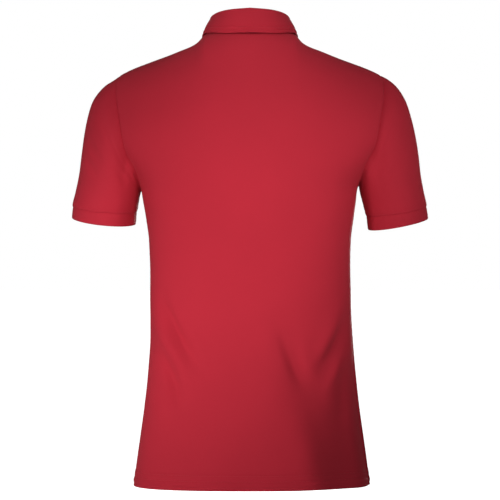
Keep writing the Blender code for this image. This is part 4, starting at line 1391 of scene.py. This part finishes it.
def collar_middle():
    """The middle of the collar's knit: up the stand, over the fold and down the fall."""
    base = neck_stations()
    side = np.where(base[:, 0] >= 0.0, 1.0, -1.0)
    angle = np.degrees(np.arctan2(np.abs(base[:, 0]), base[:, 1] - NECK_CENTRE_Y))
    size = {name: along(COLLAR, name, angle) for name in COLLAR[0]._fields[1:]}
    fold = np.stack([side * size["fold_x"], size["fold_y"], size["fold_z"]], axis=-1)
    edge = np.stack([side * size["edge_x"], size["edge_y"], size["edge_z"]], axis=-1)
    centre = np.zeros(fold.shape)
    centre[:, 1], centre[:, 2] = NECK_CENTRE_Y, fold[:, 2]
    out = unit(fold - centre)
    up = np.array([0.0, 0.0, 1.0])
    arc = [
        fold + COLLAR_FOLD_RADIUS * (math.cos(a) * out + math.sin(a) * up)
        for a in np.linspace(math.pi, 0.0, FOLD_STEPS + 1)
    ]
    stand = [base + (arc[0] - base) * share for share in np.arange(STAND_STEPS) / STAND_STEPS]
    fall = []
    last = 1.0 - np.array([0.0, 0.010, 0.024, 0.046, 0.075])[::-1]
    for share in np.concatenate([np.linspace(0.0, last[0], FALL_STEPS + 1)[1:-1], last]):
        bulge = FALL_BULGE * math.sin(math.pi * share) * out
        point = arc[-1] + (edge - arc[-1]) * share + bulge
        for face in FACING:
            here = (point[:, 1] > 0.0) == (face == "back")
            top = body_top(point[here, 0], point[here, 1], face) + FALL_CLEARANCE
            point[here, 2] = np.maximum(point[here, 2], top)
        fall.append(point)
    return np.array(stand + arc + fall)


class POLO_OT_collar(Operator):
    """Makes the flat-knit collar with its stand, fold and fall, and the stitches below it"""

    bl_idname = "polo_shirt.collar"
    bl_label = "Collar"

    def execute(self, context):
        sizes = context.scene.polo_shirt.sizes
        middle = collar_middle()
        normals = facet_normals(middle, False, 1.0)
        up = lengths_back(middle)
        ends = lengths(middle.transpose(1, 0, 2)).T
        ends = np.minimum(ends, ends[:, -1:] - ends)
        relief = RELIEF_SWELL.height * bell(up - sum(RELIEF_LINES) / 2, RELIEF_SWELL.width)
        for line in RELIEF_LINES:
            relief -= RELIEF_DEPTH * bell(up - line, RELIEF_WIDTH)
        back = RIB / 2 - 1.6 * EDGE_ROUND * bell(np.minimum(up, ends), RIB_EDGE_WIDTH)
        outer = middle + (back + relief)[..., None] * normals
        inner = middle - back[..., None] * normals
        collar = shell("collar_knit", outer, inner, normals, 1.0, rib_finish(), push=0.0003)
        settle(collar, "collar")
        back_outer, _, back_normals = panel_wall("back")
        line = edge_line(back_outer, back_normals, NECK_LINE, from_end=True)
        rows = [stitch_ends(line, sizes, margin=0.003)]
        settle(sew("neck_stitches", rows, sizes.thread_radius))
        return {"FINISHED"}


def placket_band(first, out):
    """One of the placket's two bands, from the front panel's own rows moved out or in."""
    half = np.concatenate(
        [PLACKET_HALF - BESIDE_SEAM[:4], np.linspace(PLACKET_HALF - BESIDE_SEAM[4], 0.0, 8)]
    )
    across = np.concatenate([half, -half[-2::-1]])
    plan = row_plan("front")[BODY_ROWS + first :]
    grid = np.array([row_points(row, across, "front") for row in plan])
    x, z = grid[..., 0], grid[..., 2]
    relief = unevenness(x, z) + crease_height(x, z, "front")
    grid = grid + relief[..., None] * facet_normals(grid, False, -1.0)
    grid[-1, :, 2] -= SEAM_GAP / 2
    normals = facet_normals(grid, False, -1.0)
    up = lengths(grid)
    side = PLACKET_HALF - np.abs(grid[..., 0])
    free = np.minimum(side, up) if out > 0 else side
    line = np.minimum(np.abs(side - PLACKET_LINE), np.abs(up - PLACKET_LINE))
    line = np.minimum(line, np.where(side > PLACKET_LINE, np.abs(up - PLACKET_BOX), 1.0))
    front = out + CLOTH + groove(line) - EDGE_ROUND * bell(free, 0.0007)
    if out > 0:
        front = front + EDGE_ROUND * smooth(free / 0.004)
    return grid + front[..., None] * normals, grid + out * normals, normals


def inside_lines(outer, normals):
    """The lines of a placket's stitches: both sides, the foot and the top of its box."""
    lines = []
    for from_end in (False, True):
        points, outs = edge_line(outer, normals, PLACKET_LINE, from_end=from_end, across=True)
        past_foot = int(np.argmax(lengths(points) > PLACKET_LINE))
        lines.append((points[past_foot:], outs[past_foot:]))
    for up in (PLACKET_LINE, PLACKET_BOX):
        points, outs = edge_line(outer, normals, up)
        inside = np.abs(points[:, 0]) < PLACKET_HALF - PLACKET_LINE + 0.0002
        lines.append((points[inside], outs[inside]))
    return lines


def button_height(k):
    return NECK_Z["front"] - BUTTON_DROP - k * BUTTON_PITCH


def buttonhole(height, outer, normals):
    """Satin stitches round a buttonhole: crosswise down both lips, and a bar at each end."""
    half, lip, slit, pitch = BUTTONHOLE
    column = outer.shape[1] // 2
    line = outer[:, column], normals[:, column]
    centre = lengths(line[0])[int(np.argmin(np.abs(line[0][:, 2] - height)))]
    across = np.array([1.0, 0.0, 0.0])
    rows = []
    places, outs = along_line(*line, centre + np.arange(-half, half, pitch))
    for sign in (1.0, -1.0):
        near, far = sign * slit * across, sign * (slit + lip) * across
        rows.append((places + near, places + far, outs))
    for end_at in (-half, half):
        places, outs = along_line(*line, centre + end_at + np.arange(-3, 4) * pitch / 1.2)
        bar = (lip + 0.00045) * across
        rows.append((places - bar, places + bar, outs))
    return rows


class POLO_OT_placket(Operator):
    """Makes the two bands of the front opening, their stitches and the buttonholes"""

    bl_idname = "polo_shirt.placket"
    bl_label = "Placket"

    def execute(self, context):
        sizes = context.scene.polo_shirt.sizes
        band = self.band("placket_under", *placket_band(UNDER_ROW, -2 * CLOTH - 1.5 * LAY_GAP))
        outer, inner, normals = placket_band(OVER_ROW, LAY_GAP)
        band = self.band("placket_over", outer, inner, normals)
        lines = inside_lines(outer, normals)
        rows = [stitch_ends(line, sizes, margin=0.0006) for line in lines]
        row = settle(sew("placket_stitches", rows, sizes.thread_radius))
        holes = []
        for k in range(3):
            holes += buttonhole(button_height(k), outer, normals)
        bars = settle(sew("buttonholes", holes, BAR_THREAD, lift=0.5))
        return {"FINISHED"}

    def band(self, node, outer, inner, normals):
        piece = shell(f"{node}_cloth", outer, inner, normals, -1.0, pique_finish())
        return settle(piece, node)


# A button's section, in shares of its radius and thickness.
BUTTON = table(
    "out height",
    (0.00, BUTTON_FLOOR),
    (0.40, 0.665),
    (0.56, 0.69),
    (0.64, 0.77),
    (0.70, 0.90),
    (0.76, 0.98),
    (0.83, 1.00),
    (0.90, 0.975),
    (0.96, 0.88),
    (0.995, 0.72),
    (1.00, 0.50),
    (0.985, 0.26),
    (0.93, 0.08),
    (0.86, 0.00),
    (0.00, 0.00),
)


def cut_holes(button):
    """Cuts the button's four sewing holes."""
    cutters = []
    for k in range(4):
        turn = math.pi / 4 + k * math.pi / 2
        mesh = bpy.data.meshes.new("hole")
        work = bmesh.new()
        bmesh.ops.create_cone(
            work,
            cap_ends=True,
            segments=HOLE_STEPS,
            radius1=BUTTON_HOLE_RADIUS,
            radius2=BUTTON_HOLE_RADIUS,
            depth=4 * BUTTON_THICK,
        )
        place = (BUTTON_HOLE_OUT * math.cos(turn), BUTTON_HOLE_OUT * math.sin(turn), 0.0)
        bmesh.ops.translate(work, vec=place, verts=work.verts)
        work.to_mesh(mesh)
        work.free()
        cutters.append(add_object("hole", mesh))
        cut = button.modifiers.new(f"hole_{k + 1}", "BOOLEAN")
        cut.operation = "DIFFERENCE"
        cut.object = cutters[-1]
    shaped = button.evaluated_get(bpy.context.evaluated_depsgraph_get())
    mesh = bpy.data.meshes.new_from_object(shaped)
    button.modifiers.clear()
    button.data = mesh
    for cutter in cutters:
        bpy.data.objects.remove(cutter)


def turned_button(name):
    """A four-hole button, turned from its section, lying on the plane z = 0."""
    mesh = bpy.data.meshes.new(name)
    work = bmesh.new()
    section = [(BUTTON_RADIUS * out, 0.0, BUTTON_THICK * height) for out, height in BUTTON]
    points = [work.verts.new(place) for place in section]
    edges = [work.edges.new(pair) for pair in zip(points, points[1:])]
    bmesh.ops.spin(
        work,
        geom=points + edges,
        axis=(0.0, 0.0, 1.0),
        cent=(0.0, 0.0, 0.0),
        steps=BUTTON_STEPS,
        angle=2.0 * math.pi,
    )
    bmesh.ops.remove_doubles(work, verts=work.verts, dist=0.000005)
    bmesh.ops.recalc_face_normals(work, faces=work.faces)
    work.to_mesh(mesh)
    work.free()
    mesh.materials.append(button_finish())
    button = add_object(name, mesh)
    cut_holes(button)
    button.data.shade_smooth()
    button.data.set_sharp_from_angle(angle=math.radians(40))
    return button


class POLO_OT_buttons(Operator):
    """Makes the three buttons and the threads that hold them"""

    bl_idname = "polo_shirt.buttons"
    bl_label = "Buttons"

    def execute(self, context):
        rows = []
        for k in range(3):
            z = button_height(k)
            levels = np.array([z - BUTTON_RADIUS, z, z + BUTTON_RADIUS])
            depth = body_depth(np.zeros(3), levels, "front")
            tilt = math.atan2(depth[0] - depth[2], 2 * BUTTON_RADIUS)
            out = np.array([0.0, -math.cos(tilt), math.sin(tilt)])
            down = np.array([0.0, -math.sin(tilt), -math.cos(tilt)])
            at = np.array([0.0, -depth[1], z]) + (CLOTH + 2 * LAY_GAP) * out
            button = turned_button(f"button_{k + 1}_turned")
            button.location = at
            button.rotation_euler = (math.pi / 2 - tilt, 0.0, 0.0)
            bpy.context.view_layer.update()
            settle(button, f"button_{k + 1}")
            rows += self.threads(at, out, down)
        settle(sew("button_threads", rows, TIE_THREAD, lift=0.9))
        return {"FINISHED"}

    def threads(self, at, out, down):
        """Two pairs of strands across each side of the button's holes."""
        rows = []
        across = np.array([1.0, 0.0, 0.0])
        apart = BUTTON_HOLE_OUT * math.sqrt(0.5)
        level = at + BUTTON_FLOOR * BUTTON_THICK * out
        half = down * (apart + 0.0003)
        for sign in (1.0, -1.0):
            for strand in (-TIE_THREAD, TIE_THREAD):
                middle = level + across * (sign * apart + strand)
                rows.append(((middle - half)[None], (middle + half)[None], out[None]))
        return rows


# --- Stage ---


def soft_lamp(lamp):
    """A softbox, or a wide lamp whose light fades out softly towards the edge of its reach."""
    way = Vector(lamp.to) - Vector(lamp.at)
    if lamp.reach:
        data = bpy.data.lights.new(lamp.name, "SPOT")
        data.spot_size = 2.0 * math.atan(lamp.reach / way.length)
        data.spot_blend = 1.0
        data.shadow_soft_size = lamp.size
    else:
        data = bpy.data.lights.new(lamp.name, "AREA")
        data.shape = "SQUARE"
        data.size = lamp.size
    data.energy = lamp.watts
    light = add_object(lamp.name, data)
    light.visible_camera = False
    light.location = lamp.at
    light.rotation_euler = way.to_track_quat("-Z", "Y").to_euler()


class POLO_OT_stage(Operator):
    """Makes the pale floor, the soft studio lights and the camera"""

    bl_idname = "polo_shirt.stage"
    bl_label = "Stage"

    def execute(self, context):
        scene = context.scene
        scene.view_settings.view_transform = "Standard"
        scene.view_settings.look = "None"
        self.floor(scene.polo_shirt.colours)
        for lamp in LAMPS:
            soft_lamp(lamp)
        self.surroundings(scene)
        data = bpy.data.cameras.new("photo_camera")
        data.lens, data.sensor_width = CAMERA_LENS, 36.0
        data.clip_end = 200.0
        camera = add_object("photo_camera", data)
        camera.location = CAMERA_AT
        camera.rotation_euler = (math.pi / 2, 0.0, math.pi)
        scene.camera = camera
        return {"FINISHED"}

    def floor(self, colours):
        """A wide, nearly white floor below the shirt."""
        mesh = bpy.data.meshes.new("floor")
        work = bmesh.new()
        bmesh.ops.create_circle(work, cap_ends=True, segments=96, radius=FLOOR_RADIUS)
        work.to_mesh(mesh)
        work.free()
        floor = add_object("floor", mesh)
        floor.location = (0.0, 0.0, FLOOR_Z)
        finish = Finish("studio_floor")
        finish.paint(finish.noise(finish.object_places(), 3.0), colours.floor, 0.99, 1.01)
        finish.set(Roughness=0.9, Specular_IOR_Level=0.1)
        finish.set(Emission_Color=(1.0, 1.0, 1.0, 1.0), Emission_Strength=1.0)
        mesh.materials.append(finish.made)
        floor.visible_diffuse = False
        floor.visible_glossy = False

    def surroundings(self, scene):
        """A white room to look at, which lights the shirt only weakly."""
        world = bpy.data.worlds.new("studio")
        world.use_nodes = True
        scene.world = world
        tree = world.node_tree
        back = tree.nodes["Background"]
        back.inputs["Color"].default_value = (1.0, 1.0, 1.0, 1.0)
        path = tree.nodes.new("ShaderNodeLightPath")
        level = tree.nodes.new("ShaderNodeMix")
        level.inputs["A"].default_value = ROOM_LIGHT
        level.inputs["B"].default_value = 1.0
        tree.links.new(path.outputs["Is Camera Ray"], level.inputs["Factor"])
        tree.links.new(level.outputs["Result"], back.inputs["Strength"])


# --- The add-on ---


class PoloShirt(PropertyGroup):
    """All that a user would change on the shirt."""

    colours: PointerProperty(type=PoloColours, name="Colours", description="Colours")
    sizes: PointerProperty(type=PoloSizes, name="Sizes", description="Knit and sewing sizes")


PIECES = (POLO_OT_panels, POLO_OT_sleeves, POLO_OT_collar, POLO_OT_placket, POLO_OT_buttons)


class POLO_PT_shirt(Panel):
    """Lists the shirt's pieces, colours and sizes"""

    bl_idname = "POLO_PT_shirt"
    bl_label = "Polo shirt"
    bl_space_type = "VIEW_3D"
    bl_region_type = "UI"
    bl_category = "Polo shirt"

    def draw(self, context):
        shirt = context.scene.polo_shirt
        for piece in PIECES:
            self.layout.operator(piece.bl_idname)
        self.layout.operator(POLO_OT_stage.bl_idname)
        for group in (shirt.colours, shirt.sizes):
            for name in group.__annotations__:
                self.layout.prop(group, name)


CLASSES = (PoloColours, PoloSizes, PoloShirt, *PIECES, POLO_OT_stage, POLO_PT_shirt)


def register():
    for item in CLASSES:
        bpy.utils.register_class(item)
    bpy.types.Scene.polo_shirt = PointerProperty(type=PoloShirt)


def unregister():
    del bpy.types.Scene.polo_shirt
    for item in reversed(CLASSES):
        bpy.utils.unregister_class(item)


def main():
    register()
    bpy.ops.polo_shirt.stage()
    bpy.ops.polo_shirt.panels()
    bpy.ops.polo_shirt.sleeves()
    bpy.ops.polo_shirt.collar()
    bpy.ops.polo_shirt.placket()
    bpy.ops.polo_shirt.buttons()


if __name__ == "__main__":
    main()
